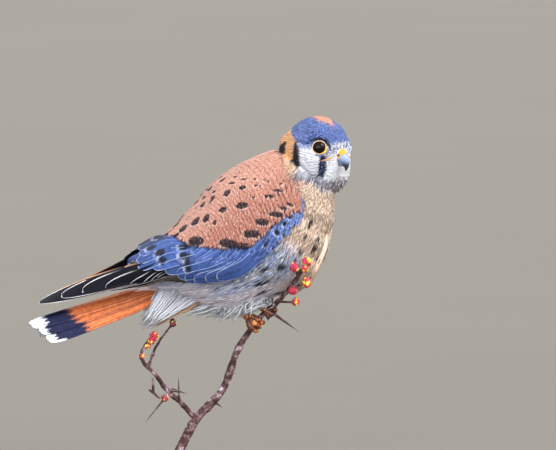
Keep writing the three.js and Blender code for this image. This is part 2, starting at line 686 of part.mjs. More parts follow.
// Display stand: a turned wooden disc and one brass rod under the twig's cut end
const rodTop = TWIG_CUT - GAP;
const baseTop = BASE_THICK - GRIP.z;
const rod = new THREE.CylinderGeometry(ROD_RADIUS, ROD_RADIUS, rodTop - baseTop - GAP, 12);
rod.rotateX(Math.PI / 2);
rod.translate(...TWIG_END, (rodTop + baseTop + GAP) / 2);
addPiece('stand_rod', solid(rod), FINISH.rod);
const disc = new THREE.CylinderGeometry(BASE_RADIUS, BASE_RADIUS, BASE_THICK, 48);
disc.rotateX(Math.PI / 2);
disc.translate(-GRIP.x, -GRIP.y, BASE_THICK / 2 - GRIP.z);
addPiece('stand_base', solid(disc), FINISH.base);

export default bird;
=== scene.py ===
# A life-size male American kestrel that grips a budding thorn twig on a plain display stand.
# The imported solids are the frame. The plumage, bare parts, twig and stand are finished here.
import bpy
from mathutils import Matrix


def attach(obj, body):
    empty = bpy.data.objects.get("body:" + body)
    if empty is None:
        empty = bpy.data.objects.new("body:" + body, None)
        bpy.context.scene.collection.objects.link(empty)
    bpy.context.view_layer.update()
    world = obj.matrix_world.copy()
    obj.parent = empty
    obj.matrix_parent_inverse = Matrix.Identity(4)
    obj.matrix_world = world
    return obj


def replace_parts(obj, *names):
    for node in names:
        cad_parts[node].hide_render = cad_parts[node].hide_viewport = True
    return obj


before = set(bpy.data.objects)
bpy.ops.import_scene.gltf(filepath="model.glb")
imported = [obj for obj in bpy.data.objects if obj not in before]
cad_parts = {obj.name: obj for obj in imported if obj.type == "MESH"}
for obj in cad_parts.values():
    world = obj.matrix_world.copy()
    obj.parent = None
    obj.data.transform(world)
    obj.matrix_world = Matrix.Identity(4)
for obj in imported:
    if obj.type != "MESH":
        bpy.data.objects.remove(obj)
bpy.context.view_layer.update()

import math

import bpy
import numpy as np
from mathutils import Vector
from mathutils.bvhtree import BVHTree
from mathutils.kdtree import KDTree

# Camera
# It stands a little behind the bird's right side and six degrees above it, far off on a long
# lens, as the photograph was taken. The twig leaves the frame at the bottom.
VIEW_TURN = math.radians(-18)
VIEW_RISE = math.radians(6)
AIM = Vector((0.0354, -0.0004, 0.1696))
DISTANCE = 3.0
FRAME_WIDE = 0.3432  # metres across the frame at the bird
away = Vector((
    math.cos(VIEW_RISE) * math.sin(VIEW_TURN),
    -math.cos(VIEW_RISE) * math.cos(VIEW_TURN),
    math.sin(VIEW_RISE),
))
camera_data = bpy.data.cameras.new("camera")
camera = bpy.data.objects.new("camera", camera_data)
bpy.context.scene.collection.objects.link(camera)
camera.location = AIM + away * DISTANCE
camera.rotation_euler = away.to_track_quat("Z", "Y").to_euler()
camera_data.lens = camera_data.sensor_width * DISTANCE / FRAME_WIDE
camera_data.clip_end = 60
bpy.context.scene.camera = camera
bpy.context.scene.view_settings.view_transform = "Standard"

# Floor and light
# A wide sheet of pale paper lies under the stand. Two large soft lamps shine from the front, one
# from the upper right and a cooler one from the low left. Two weak ones and a pale sky help them.
FLOOR_COLOUR = (0.155, 0.144, 0.120)
FLOOR_WIDE = 40.0


def noise_layer(tree, coords, scale, detail, rough=0.55):
    node = tree.nodes.new("ShaderNodeTexNoise")
    node.inputs["Scale"].default_value = scale
    node.inputs["Detail"].default_value = detail
    node.inputs["Roughness"].default_value = rough
    tree.links.new(coords, node.inputs["Vector"])
    return node.outputs["Fac"]


def ramp(tree, value, *stops):
    """Colours along a value, each stop as place and colour."""
    node = tree.nodes.new("ShaderNodeValToRGB")
    tree.links.new(value, node.inputs["Fac"])
    while len(node.color_ramp.elements) < len(stops):
        node.color_ramp.elements.new(0.5)
    for element, (place, colour) in zip(node.color_ramp.elements, stops):
        element.position = place
        element.color = (*colour[:3], 1)
    return node.outputs["Color"]


def blank_material(name, roughness, **sockets):
    material = bpy.data.materials.new(name)
    material.use_nodes = True
    tree = material.node_tree
    shader = tree.nodes["Principled BSDF"]
    shader.inputs["Roughness"].default_value = roughness
    for socket, value in sockets.items():
        shader.inputs[socket.replace("_", " ")].default_value = value
    return material, tree, shader


def object_coords(tree):
    return tree.nodes.new("ShaderNodeTexCoord").outputs["Object"]


def bump(tree, shader, height, strength, distance):
    node = tree.nodes.new("ShaderNodeBump")
    node.inputs["Strength"].default_value = strength
    node.inputs["Distance"].default_value = distance
    tree.links.new(height, node.inputs["Height"])
    tree.links.new(node.outputs["Normal"], shader.inputs["Normal"])


def grained_material(name, roughness, scale, *stops, **sockets):
    """A finish whose colour wanders between the stops with a fine noise."""
    material, tree, shader = blank_material(name, roughness, **sockets)
    grain = noise_layer(tree, object_coords(tree), scale, 3)
    tree.links.new(ramp(tree, grain, *stops), shader.inputs["Base Color"])
    return material


def select_only(*pieces):
    bpy.ops.object.select_all(action="DESELECT")
    for piece in pieces:
        piece.select_set(True)
    bpy.context.view_layer.objects.active = pieces[0]


paper_dark = [c * 0.96 for c in FLOOR_COLOUR]
paper = grained_material("floor_paper", 0.9, 3, (0.3, paper_dark), (0.7, FLOOR_COLOUR))
bpy.ops.mesh.primitive_plane_add(size=FLOOR_WIDE, location=(0, 0, 0))
floor = bpy.context.object
floor.name = "floor"
floor.data.materials.append(paper)


def soft_sun(name, place, spread, power, colour):
    light = bpy.data.lights.new(name, "SUN")
    light.angle = math.radians(spread)
    light.energy = power
    light.color = colour
    lamp = bpy.data.objects.new(name, light)
    bpy.context.scene.collection.objects.link(lamp)
    lamp.location = place
    lamp.rotation_euler = Vector(place).to_track_quat("Z", "Y").to_euler()


soft_sun("key_light", (1.2, -1.7, 1.7), 35, 3.0, (1, 0.97, 0.93))
soft_sun("fill_light", (-1.2, -1.9, 0.15), 60, 3.0, (0.88, 0.93, 1))
soft_sun("front_light", (1.9, -0.7, 0.3), 50, 0.9, (1, 0.92, 0.84))
soft_sun("rim_light", (-0.5, 1.6, 1.9), 30, 1.1, (1, 0.98, 0.95))
sky = bpy.data.worlds.new("sky")
sky.use_nodes = True
sky.node_tree.nodes["Background"].inputs["Color"].default_value = (0.93, 0.95, 1, 1)
sky.node_tree.nodes["Background"].inputs["Strength"].default_value = 1.15
bpy.context.scene.world = sky

# Skin
# One closed skin holds the head, neck, trunk, folded wings and thighs, so that no seam shows
# between them. It lies inside the solids by the depth of the coat, and carries its markings.
GRIP = np.array([20.0, -2.0, 110.0])  # where the feet hold the twig, in millimetres
TRUNK = np.array([  # back x, back z, belly x, belly z, half width
    [22, 113.5, 50, 97, 13],
    [12, 106.5, 53, 84, 20.5],
    [-1, 99.5, 52.5, 71, 26.5],
    [-12, 91.5, 50.5, 56, 30],
    [-25, 83.5, 46.5, 41, 33],
    [-35, 72, 36, 25, 34],
    [-46, 58, 14, 16, 32],
    [-56, 45, -16, 9, 26],
    [-67, 35, -44, 14, 16],
    [-75, 30, -60, 20, 8.5],
    [-80, 27, -71, 20.5, 5],
    [-84, 23.5, -79, 19, 3],
])
CLOAK = np.array([  # ridge x, ridge z, side x, side z, half width of the two folded wings
    [15, 108, 23, 73, 35],
    [-8, 98, 4, 61, 39.5],
    [-25, 86.5, -12, 52, 40.5],
    [-38, 72, -30, 44, 39],
    [-53, 57, -50, 39, 34],
    [-68, 49.5, -66, 37, 27.5],
    [-84, 41.5, -82, 32, 22],
    [-105, 32.5, -104, 25.5, 15.5],
    [-125, 24, -124, 20, 10.5],
    [-142, 17.5, -142, 16.5, 7],
])
BELLY_KEEL = 1.3
SIDES = {-1: "right", 1: "left"}  # each side's sign along Y
HEAD_AT = np.array([39, -4, 105.5])
HEAD_SIZE = np.array([20.5, 20.6, 21.5])
SWELLS = [  # forward, side, up, spread in radians, height in millimetres
    [0.50, 0.70, 0.62, 0.30, 0.9],
    [0.10, 0.80, -0.55, 0.60, 1.1],
    [0.67, 0.70, 0.26, 0.30, -0.4],
    [0.86, 0.46, 0.24, 0.26, 2.0],
    [-0.80, 0.56, -0.25, 0.42, 3.2],
    [-0.79, 0.55, 0.26, 0.26, 1.5],
    [0.05, 0.68, -0.73, 0.42, 1.3],
    [0.60, 0.44, -0.68, 0.34, 2.4],
    [0.76, 0.49, -0.42, 0.30, 2.0],
    [0.35, 0, -0.95, 0.50, 0.8],
    [0.75, 0, 0.75, 0.50, -0.3],
]
head_turn = math.radians(-56)
head_nod = math.radians(6)
FORWARD = np.array([
    math.cos(head_turn) * math.cos(head_nod),
    math.sin(head_turn) * math.cos(head_nod),
    -math.sin(head_nod),
])
LEFT = np.array([-math.sin(head_turn), math.cos(head_turn), 0])
HEAD_AXES = np.array([FORWARD, LEFT, np.cross(FORWARD, LEFT)])
SKIN_DEPTH = 1.3
VOXEL = 0.0011


def unit(v):
    return v / np.maximum(np.linalg.norm(v, axis=-1, keepdims=True), 1e-9)


def dot(a, b):
    return np.sum(a * b, axis=-1, keepdims=True)


def crossed(rows, columns):
    return np.meshgrid(rows, columns, indexing="ij")


def full_turn(count):
    return np.linspace(0, 2 * np.pi, count, endpoint=False)


def way_out(height, turn):
    """A direction from a ball's centre, from its height and its turn round the ball."""
    flat = np.sqrt(1 - height**2)
    return np.stack([flat * np.cos(turn), flat * np.sin(turn), height], -1)


def ball_directions(pole, rows, around):
    """Directions from a ball's centre, in rings that start this far from each pole."""
    lat, lon = crossed(np.linspace(pole, math.pi - pole, rows), full_turn(around))
    return np.stack([np.sin(lat) * np.cos(lon), np.sin(lat) * np.sin(lon), np.cos(lat)], -1)


def smooth_step(x, low, high):
    s = np.clip((x - low) / (high - low), 0, 1)
    return s * s * (3 - 2 * s)


def fade(x, low, high):
    return 1 - smooth_step(x, low, high)


def read_off(table, value, column=1):
    """What a table's column says for a value between those of its first column."""
    return np.interp(value, table[:, 0], table[:, column])


def spline(rows, t):
    """A smooth line through evenly spaced rows."""
    last = len(rows) - 1
    place = np.clip(t, 0, 1) * last
    i = np.minimum(place.astype(int), last - 1)
    f = (place - i)[..., None]
    a, b, c, d = (rows[np.clip(i + k, 0, last)] for k in (-1, 0, 1, 2))
    start, end = (c - a) / 2, (d - b) / 2
    curve = (2 * b - 2 * c + start + end) * f**3 + (-3 * b + 3 * c - 2 * start - end) * f**2
    return curve + start * f + b


def trunk_point(t, angle, out=0.0):
    """A place on the trunk, with the angle measured round it from the back."""
    row = spline(TRUNK, t)
    back, belly = row[..., 0:2], row[..., 2:4]
    reach = np.linalg.norm(back - belly, axis=-1)
    end = np.sqrt(np.maximum(0, 1 - np.abs(2 * t - 1) ** 6))
    up = (back - belly) / reach[..., None]
    middle = (back + belly) / 2
    rise = np.cos(angle) * (reach / 2 + out) * end
    keel = np.where(rise < 0, BELLY_KEEL, 1.0)
    side = np.sign(np.sin(angle)) * np.abs(np.sin(angle)) ** keel * (row[..., 4] + out) * end
    middle = middle + up * rise[..., None]
    return np.stack([middle[..., 0], side, middle[..., 1]], -1)


def cloak_point(station, degrees):
    """A place on the folded wings, on the left one for positive degrees down from the ridge."""
    row = spline(CLOAK, np.clip(station / (len(CLOAK) - 1), 0, 1))
    rise, side = np.cos(np.radians(degrees)), np.sin(np.radians(degrees))
    return np.stack([
        row[..., 2] + (row[..., 0] - row[..., 2]) * rise,
        row[..., 4] * side,
        row[..., 3] + (row[..., 1] - row[..., 3]) * rise,
    ], -1)


def cloak_slopes(station, degrees):
    """How a place on the folded wings moves, back by 0.1 of a station and down by 2 degrees."""
    station = np.clip(station, 0.06, 8.94)
    back = cloak_point(station + 0.05, degrees) - cloak_point(station - 0.05, degrees)
    down = cloak_point(station, degrees + 1) - cloak_point(station, degrees - 1)
    return back, down


def cloak_out(station, degrees):
    back, down = cloak_slopes(station, degrees)
    return unit(np.cross(down, back))


def cloak_sink(station, degrees):
    """How much deeper the mantle and the wing lie near their front edge."""
    front = read_off(CLOAK_FRONT, np.abs(degrees))
    return read_off(CLOAK_FRONT, np.abs(degrees), 2) * fade(station - front, 0, 1.1)


def head_reach(d):
    """How far the head reaches from its centre, each way in its own frame."""
    reach = 1 / np.linalg.norm(d / HEAD_SIZE, axis=-1)
    for x, y, z, spread, height in SWELLS:
        for side in (-1, 1):
            near = np.arccos(np.clip(d @ unit(np.array([x, y * side, z])), -1, 1))
            reach = reach + height * np.exp(-((near / spread) ** 2))
    return reach


def on_head(p):
    return HEAD_AT + p @ HEAD_AXES


def head_point(d, out=0.0):
    return on_head(d * (head_reach(d) + out)[..., None])


def mesh_piece(name, points, faces, material, body="root"):
    """A mesh from points in millimetres from the grip, and groups of faces of three and four."""
    mesh = bpy.data.meshes.new(name)
    points = (points.reshape(-1, 3) + GRIP) * 0.001
    corners = np.concatenate([f.ravel() for f in faces]).astype(np.int32)
    sizes = np.concatenate([np.full(len(f), f.shape[1]) for f in faces])
    mesh.vertices.add(len(points))
    mesh.vertices.foreach_set("co", points.ravel())
    mesh.loops.add(len(corners))
    mesh.loops.foreach_set("vertex_index", corners)
    mesh.polygons.add(len(sizes))
    starts = np.concatenate([[0], np.cumsum(sizes)[:-1]]).astype(np.int32)
    mesh.polygons.foreach_set("loop_start", starts)
    mesh.update(calc_edges=True)
    mesh.validate()
    mesh.polygons.foreach_set("use_smooth", np.ones(len(mesh.polygons), bool))
    piece = bpy.data.objects.new(name, mesh)
    bpy.context.scene.collection.objects.link(piece)
    if material:
        mesh.materials.append(material)
    if body:
        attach(piece, body)
    return piece


def weld(piece, voxel, smoothing):
    """Makes one closed skin of all that the piece holds, and smooths it."""
    remesh = piece.modifiers.new("weld", "REMESH")
    remesh.mode = "VOXEL"
    remesh.voxel_size = voxel
    piece.modifiers.new("relax", "SMOOTH").iterations = smoothing
    for name in ("weld", "relax"):
        bpy.ops.object.modifier_apply(modifier=name)
    piece.data.polygons.foreach_set("use_smooth", np.ones(len(piece.data.polygons), bool))


def outward(points, faces):
    """Turns all faces of a closed form round if they look inward."""
    centre = points.mean(axis=0)
    volume = 0.0
    for group in faces:
        corners = [points[group[:, n]] - centre for n in range(group.shape[1])]
        for b, c in zip(corners[1:], corners[2:]):
            volume += np.sum(corners[0] * np.cross(b, c))
    return faces if volume > 0 else [group[:, ::-1] for group in faces]


def rings_form(rings):
    """Points and faces of a closed form through rings of points, with a pole at each end."""
    count, around = rings.shape[:2]
    poles = rings[[0, -1]].mean(axis=1)
    points = np.concatenate([rings.reshape(-1, 3), poles])
    i, j = crossed(np.arange(count - 1), np.arange(around))
    a = (i * around + j).ravel()
    b = (i * around + (j + 1) % around).ravel()
    quads = np.stack([a, b, b + around, a + around], -1)
    j = np.arange(around)
    k = (j + 1) % around
    last = (count - 1) * around
    first_cap = np.stack([k, j, np.full(around, count * around)], -1)
    last_cap = np.stack([last + j, last + k, np.full(around, count * around + 1)], -1)
    return points, outward(points, [quads, np.concatenate([first_cap, last_cap])])


def set_colours(piece, name, colours):
    layer = piece.data.color_attributes.new(name, "FLOAT_COLOR", "POINT")
    colours = np.clip(colours.reshape(-1, 3), 0, 1)
    full = np.concatenate([colours, np.ones((len(colours), 1))], axis=1)
    layer.data.foreach_set("color", full.astype(np.float32).ravel())


def set_map(piece, name, coords):
    layer = piece.data.uv_layers.new(name=name)
    corner = np.empty(len(piece.data.loops), np.int32)
    piece.data.loops.foreach_get("vertex_index", corner)
    layer.data.foreach_set("uv", coords.reshape(-1, 2)[corner].astype(np.float32).ravel())


# The bird's colours and the places of its marks on the head, as directions in the head's frame
SLATE = np.array([0.12, 0.185, 0.47])
WHITE = np.array([0.86, 0.88, 0.95])
GREY_WHITE = np.array([0.52, 0.50, 0.58])
BLACK = np.array([0.010, 0.010, 0.020])
NAPE_BUFF = np.array([0.93, 0.49, 0.22])
CROWN_RUST = np.array([0.90, 0.42, 0.24])
BREAST_BUFF = np.array([1.0, 0.75, 0.58])
RUST_LIGHT = np.array([0.70, 0.35, 0.26])
RUST_DEEP = np.array([0.50, 0.205, 0.15])
PALE_NAPE = np.array([0.90, 0.66, 0.48])
RUFF_DARK = np.array([0.05, 0.04, 0.07])
NECK_BUFF = np.array([0.90, 0.62, 0.42])
NECK_GREY = np.array([0.42, 0.40, 0.47])
NECK_DARK = np.array([0.08, 0.07, 0.10])
FRONT_HIGHLIGHT_CREAM = np.array([0.97, 0.86, 0.76])
BREAST_SHADE_ORANGE = np.array([0.80, 0.45, 0.30])
BELLY_WHITE = np.array([0.88, 0.80, 0.90])
BELLY_DARK = np.array([0.50, 0.42, 0.44])
VENT_WHITE = np.array([0.98, 0.90, 0.95])
WING_FRONT = np.array([0.10, 0.145, 0.34])
WING_BLUE = np.array([0.040, 0.075, 0.225])
CHAIN_GREY = np.array([0.50, 0.57, 0.90])
RUST_EDGE = np.array([  # the edge between the rusty and the blue feathers, station and degrees
    [0, 96], [0.25, 91], [0.5, 85], [1.0, 82], [1.4, 83], [1.8, 86], [2.35, 88], [2.62, 83],
    [3.0, 78], [3.35, 70], [3.6, 62], [3.9, 52], [4.12, 28], [4.15, 0], [9, 0],
])
RUFF_EDGE = np.array([  # the ruff's lower edge, degrees down from the back, place along the trunk
    [0, 0.07], [24, 0.12], [48, 0.16], [63, 0.195], [76, 0.20], [88, 0.185], [104, 0.16],
    [117, 0.135], [146, 0.125], [180, 0.12],
])
CLOAK_FRONT = np.array([  # degrees, the station where the mantle starts, and how deep it starts
    [0, 0.0, 0.5], [15, 0.1, 1.5], [26, 0.2, 3.0], [40, 0.32, 5.0], [53, 0.35, 5.0],
    [63, 0.15, 4.0], [80, 0.02, 3.5], [110, 0.02, 2.5],
])
EAR_BAR = [
    (-0.14, 0.96, 0.26), (-0.09, 0.99, 0.09), (-0.04, 0.99, -0.13), (-0.03, 0.94, -0.35),
    (-0.11, 0.79, -0.60), (-0.16, 0.68, -0.70),
]
MALAR = [(0.72, 0.69, -0.06), (0.72, 0.67, -0.22), (0.69, 0.64, -0.36), (0.62, 0.61, -0.50)]
# A black stripe over each eye, painted as the shade under the brow.
BROW_SHADE = [
    (0.30, 0.86, 0.40), (0.40, 0.80, 0.46), (0.55, 0.67, 0.50), (0.72, 0.54, 0.44),
    (0.82, 0.51, 0.27),
]
NAPE_SPOT = [(-0.66, 0.75, 0.12), (-0.68, 0.73, -0.06), (-0.62, 0.75, -0.22)]
BREAST_DROPS = np.array([  # place along the trunk, degrees round it, radius in millimetres
    [0.315, 252, 1.5], [0.335, 251, 1.4], [0.340, 234, 1.0], [0.360, 234, 1.6], [0.395, 234, 1.9],
    [0.430, 247, 1.9], [0.495, 255, 2.0], [0.560, 246, 2.8], [0.550, 212, 2.5], [0.38, 251, 1.2],
    [0.46, 212, 1.8], [0.415, 222, 1.4], [0.50, 232, 1.9], [0.47, 196, 1.6], [0.52, 190, 2.0],
    [0.58, 228, 2.2], [0.44, 200, 1.3], [0.40, 205, 1.2], [0.525, 262, 1.6], [0.60, 205, 2.0],
])


def blend(base, colour, share):
    return base + (colour - base) * share[..., None]


def another(grain):
    """A second random number made from the first."""
    return grain * 17.31 % 1


def stroke(d, line, half):
    """How far each direction lies inside a curved stripe on the head, from 0 to 1."""
    line = unit(np.array(line, float))
    half = np.broadcast_to(half, len(line))
    share = np.zeros(d.shape[:-1])
    for (a, b), (h0, h1) in zip(zip(line, line[1:]), zip(half, half[1:])):
        f = np.clip(dot(d - a, b - a)[..., 0] / np.sum((b - a) ** 2), 0, 1)
        gap = np.linalg.norm(d - (a + f[..., None] * (b - a)), axis=-1)
        wide = h0 + (h1 - h0) * f
        share = np.maximum(share, fade(gap, wide * 0.8, wide * 1.15))
    return share


def head_colour(d, grain, drop=0.0):
    """Colours of the head. grain is a random number from 0 to 1 for each feather, drop the
    distance below the head's own form, where the ruff hangs over the neck."""
    x, y, z = d[..., 0], np.abs(d[..., 1]), d[..., 2]
    d = np.stack([x, y, z], -1)
    second = another(grain)
    slate = SLATE * (0.6 + 0.95 * second)[..., None]
    slate = blend(slate, SLATE * 0.16, (grain < 0.24) * 1.0)
    colour = WHITE * (1.02 + 0.1 * second)[..., None]
    under_ear = 0.11 * fade(x, 0.15, 0.45)
    low = smooth_step(-z - 0.3 * smooth_step(x, 0.5, 0.9) + under_ear, 0.42, 0.62)
    behind = 1 - 0.45 * fade(x, 0.2, 0.6)
    streaks = GREY_WHITE * (np.where(grain < 0.28, 0.25, 0.6 + 0.75 * second) * behind)[..., None]
    colour = blend(colour, streaks, low)
    front = smooth_step(x, 0.55, 0.9)
    cap = smooth_step(z + (0.05 + 0.3 * front) * (second - 0.5) + 0.10 * front, 0.25, 0.31)
    colour = blend(colour, slate, cap)
    behind_eye = stroke(d, [(0.38, 0.88, 0.25), (0.12, 0.96, 0.24), (-0.1, 0.96, 0.27)], 0.075)
    colour = blend(colour, slate * 1.35, behind_eye * (0.3 + 0.5 * second))
    top = np.hypot((x - 0.08) / 0.46, y / 0.34) + 0.7 * (grain - 0.5)
    colour = blend(colour, CROWN_RUST, fade(top, 0.85, 1.0) * (z > 0))
    nape = smooth_step(-x - 0.06 * second, 0.08, 0.13)
    nape = nape * fade(z + 0.45 * (x + 0.3), 0.36, 0.44)
    colour = blend(colour, NAPE_BUFF * (0.85 + 0.3 * second)[..., None], nape)
    colour = blend(colour, PALE_NAPE, nape * smooth_step(-z, 0.15, 0.5) * 0.5)
    far_back = smooth_step(-x, 0.86, 0.95) * fade(z, 0.2, 0.4)
    colour = blend(colour, RUST_LIGHT, far_back)
    lores = stroke(d, [(0.97, 0.1, 0.32), (0.88, 0.42, 0.26), (0.80, 0.56, 0.15)], 0.15)
    colour = blend(colour, np.where((second < 0.42)[..., None], SLATE * 0.55, WHITE), lores * 0.9)
    under_eye = stroke(d, [(0.60, 0.80, 0.03), (0.72, 0.69, 0.0), (0.78, 0.62, -0.05)], 0.06)
    colour = blend(colour, slate * 0.9, under_eye * 0.8)
    # Painted shade: a black stripe over the eye where the brow shades it.
    colour = blend(colour, BLACK, stroke(d, BROW_SHADE, (0.02, 0.045, 0.055, 0.05, 0.04)) * 0.9)
    colour = blend(colour, BLACK, stroke(d, EAR_BAR, (0.06, 0.10, 0.13, 0.15, 0.13, 0.07)))
    malar = stroke(d, MALAR, (0.08, 0.11, 0.12, 0.09))
    colour = blend(colour, np.where((second < 0.22)[..., None], SLATE * 0.8, BLACK), malar)
    colour = blend(colour, BLACK, stroke(d, NAPE_SPOT, (0.11, 0.19, 0.14)))
    hem = smooth_step(drop, 0.6, 1.6) * smooth_step(-z, 0.66, 0.76) * (grain < 0.62)
    hem = hem * smooth_step(x, -0.55, -0.3) * fade(x, 0.30, 0.5)
    return blend(colour, RUFF_DARK, hem * 0.9)


def trunk_colour(t, angle, grain):
    second = another(grain)
    down = np.degrees(np.abs((angle + math.pi) % (2 * math.pi) - math.pi))
    colour = BREAST_BUFF * (0.86 + 0.2 * second)[..., None]
    # The front of the upper breast is painted paler cream, a painted highlight where the light
    # falls on its front edge.
    front = smooth_step(down, 130, 176) * fade(t, 0.3, 0.5)
    colour = blend(colour, FRONT_HIGHLIGHT_CREAM, front * 0.5)
    # The lower front of the breast is painted a darker, deeper orange, as painted shade beneath it.
    shaded_low_front = smooth_step(t, 0.34, 0.46) * smooth_step(down, 140, 165)
    colour = blend(colour, BREAST_SHADE_ORANGE, shaded_low_front * 0.5)
    colour = blend(colour, RUST_LIGHT, fade(down + 10 * second, 80, 94))
    shoulder = smooth_step(t, 0.245, 0.265) * fade(t, 0.36, 0.42)
    shoulder = shoulder * smooth_step(down, 78, 84) * fade(down, 92, 97)
    colour = blend(colour, WING_FRONT * (0.5 + second)[..., None], shoulder)
    edge = read_off(RUFF_EDGE, down)
    ruff = fade(t + 0.02 * second, edge - 0.01, edge + 0.01)
    neck = np.where((down < 62 + 8 * second)[..., None], NECK_BUFF, NECK_GREY)
    colour = blend(colour, neck * (0.7 + 0.5 * second)[..., None], ruff)
    hem = ruff * smooth_step(t, edge - 0.04, edge - 0.02) * (grain < 0.45)
    hem = hem * smooth_step(down, 50, 62) * fade(down, 112, 125)
    colour = blend(colour, NECK_DARK, hem * 0.85)
    flank = smooth_step(t, 0.40, 0.47) * fade(down - 45 * (t - 0.45), 112, 128)
    streak = np.where((grain < 0.5)[..., None], CHAIN_GREY, WHITE * 0.92)
    streak = np.where((grain < 0.11)[..., None], CHAIN_GREY * 0.2, streak)
    colour = blend(colour, streak, flank)
    belly = smooth_step(t + 0.05 * second, 0.49, 0.60) * smooth_step(down, 104, 124)
    colour = blend(colour, np.where((grain < 0.15)[..., None], BELLY_DARK, BELLY_WHITE), belly)
    vent = smooth_step(t + 0.04 * second, 0.62, 0.72) * smooth_step(down, 60, 90)
    colour = blend(colour, VENT_WHITE * (0.88 + 0.14 * second)[..., None], vent)
    around = np.degrees(angle) % 360
    around = np.where(around < 180, 360 - around, around)
    for along, degrees, radius in BREAST_DROPS:
        gap = np.hypot((t - along) * 150, (around - degrees) * 0.55)
        colour = blend(colour, BLACK, fade(gap, radius * 0.8, radius * 1.15) * 0.96)
    return colour


trunk_t, trunk_a = crossed(np.linspace(0.004, 0.996, 60), full_turn(64))
trunk_form = rings_form(trunk_point(trunk_t, trunk_a, -SKIN_DEPTH))
head_form = rings_form(head_point(ball_directions(0.03, 48, 64), -SKIN_DEPTH))
CAPE_END = 5.7  # station
CAPE_LOW = 97  # degrees
cape_s, cape_d = crossed(np.linspace(0, 1, 50), np.linspace(-CAPE_LOW, CAPE_LOW, 60))
cape_front = read_off(CLOAK_FRONT, np.abs(cape_d)) + 0.08
cape_s = cape_front + (CAPE_END - cape_front) * cape_s
cape_d = cape_d * (1 - 0.13 * smooth_step(cape_s, 0.1, CAPE_END))
cape_thick = (7.5 - 5 * np.sqrt(cape_s / CAPE_END))[..., None]
cape_out = cloak_out(cape_s, cape_d)
cape_top = cloak_point(cape_s, cape_d) - cape_out * (1.6 + cloak_sink(cape_s, cape_d))[..., None]
cape_under = cape_top - cape_out * cape_thick
cape_form = rings_form(np.concatenate([cape_top, cape_under[:, ::-1]], axis=1))
skin_forms = {"skin": trunk_form, "head_part": head_form, "cape_part": cape_form}
select_only(*[mesh_piece(name, *form, None, None) for name, form in skin_forms.items()])
bpy.ops.object.join()
skin = bpy.context.object
weld(skin, VOXEL, 6)


def bake_place(*shares):
    """Two shares from 0 to 1, kept a little inside the edge of the map."""
    return np.stack([0.02 + 0.96 * share for share in shares], -1)


def random_shares(count, seed):
    return np.random.default_rng(seed).random(count)


def nearest_on_trunk(p):
    """Trunk coordinates of points, found by the closest cross line in side view."""
    grid = np.linspace(0.01, 0.99, 150)
    row = spline(TRUNK, grid)
    a, b = row[:, 0:2], row[:, 2:4]
    q = p[:, None, [0, 2]]
    f = np.clip(np.sum((q - b) * (a - b), -1) / np.sum((a - b) ** 2, -1), 0, 1)
    gap = np.linalg.norm(q - (b + f[..., None] * (a - b)), axis=-1)
    k = np.argmin(gap, axis=1)
    rise = 2 * f[np.arange(len(p)), k] - 1
    return grid[k], np.arctan2(p[:, 1] / row[k, 4], rise)


def head_share(p):
    """Directions from the head's centre, distances below its form, and its share of the colour."""
    local = (p - HEAD_AT) @ HEAD_AXES.T
    d = unit(local)
    drop = np.linalg.norm(local, axis=-1) - head_reach(d)
    reach = 2.5 + 4.5 * smooth_step(-d[..., 2], 0.3, 0.7) * smooth_step(d[..., 0], -0.6, -0.2)
    return d, drop, fade(drop, reach - 1.5, reach + 0.5)


skin_points = np.empty(len(skin.data.vertices) * 3)
skin.data.vertices.foreach_get("co", skin_points)
skin_points = skin_points.reshape(-1, 3) * 1000 - GRIP
skin_grain = random_shares(len(skin_points), 3)
skin_t, skin_a = nearest_on_trunk(skin_points)
skin_d, skin_drop, skin_head = head_share(skin_points)
skin_paint = trunk_colour(skin_t, skin_a, skin_grain)
skin_paint = blend(skin_paint, head_colour(skin_d, skin_grain, skin_drop), skin_head)
cape_tree = KDTree(cape_s.size)
for index, place in enumerate(cape_top.reshape(-1, 3).tolist()):
    cape_tree.insert(place, index)
cape_tree.balance()
cape_found = np.array([cape_tree.find(p)[1:] for p in skin_points.tolist()])
cape_index = cape_found[:, 0].astype(int)
cape_edge = read_off(RUST_EDGE, cape_s.ravel()[cape_index])
cape_rusty = np.abs(cape_d.ravel()[cape_index]) < cape_edge
cape_paint = np.where(cape_rusty[:, None], RUST_DEEP, WING_BLUE)
skin_paint = blend(skin_paint, cape_paint, fade(cape_found[:, 1], 2.0, 3.0))
set_colours(skin, "plumage", skin_paint)
set_map(skin, "OFBake", bake_place(skin_t, skin_a / (2 * math.pi) % 1))
set_map(skin, "vane", np.stack([skin_a, skin_t * 20], -1))


def toned_paint(tree, shader, layer, value, reach, tones):
    """Takes the mesh's own colours, from dark to light as the value goes through its reach."""
    paint = tree.nodes.new("ShaderNodeAttribute")
    paint.attribute_name = layer
    tone = tree.nodes.new("ShaderNodeMapRange")
    tone.inputs["From Min"].default_value, tone.inputs["From Max"].default_value = reach
    tone.inputs["To Min"].default_value, tone.inputs["To Max"].default_value = tones
    tree.links.new(value, tone.inputs["Value"])
    tint = tree.nodes.new("ShaderNodeVectorMath")
    tint.operation = "SCALE"
    tree.links.new(paint.outputs["Color"], tint.inputs[0])
    tree.links.new(tone.outputs[0], tint.inputs["Scale"])
    tree.links.new(tint.outputs[0], shader.inputs["Base Color"])


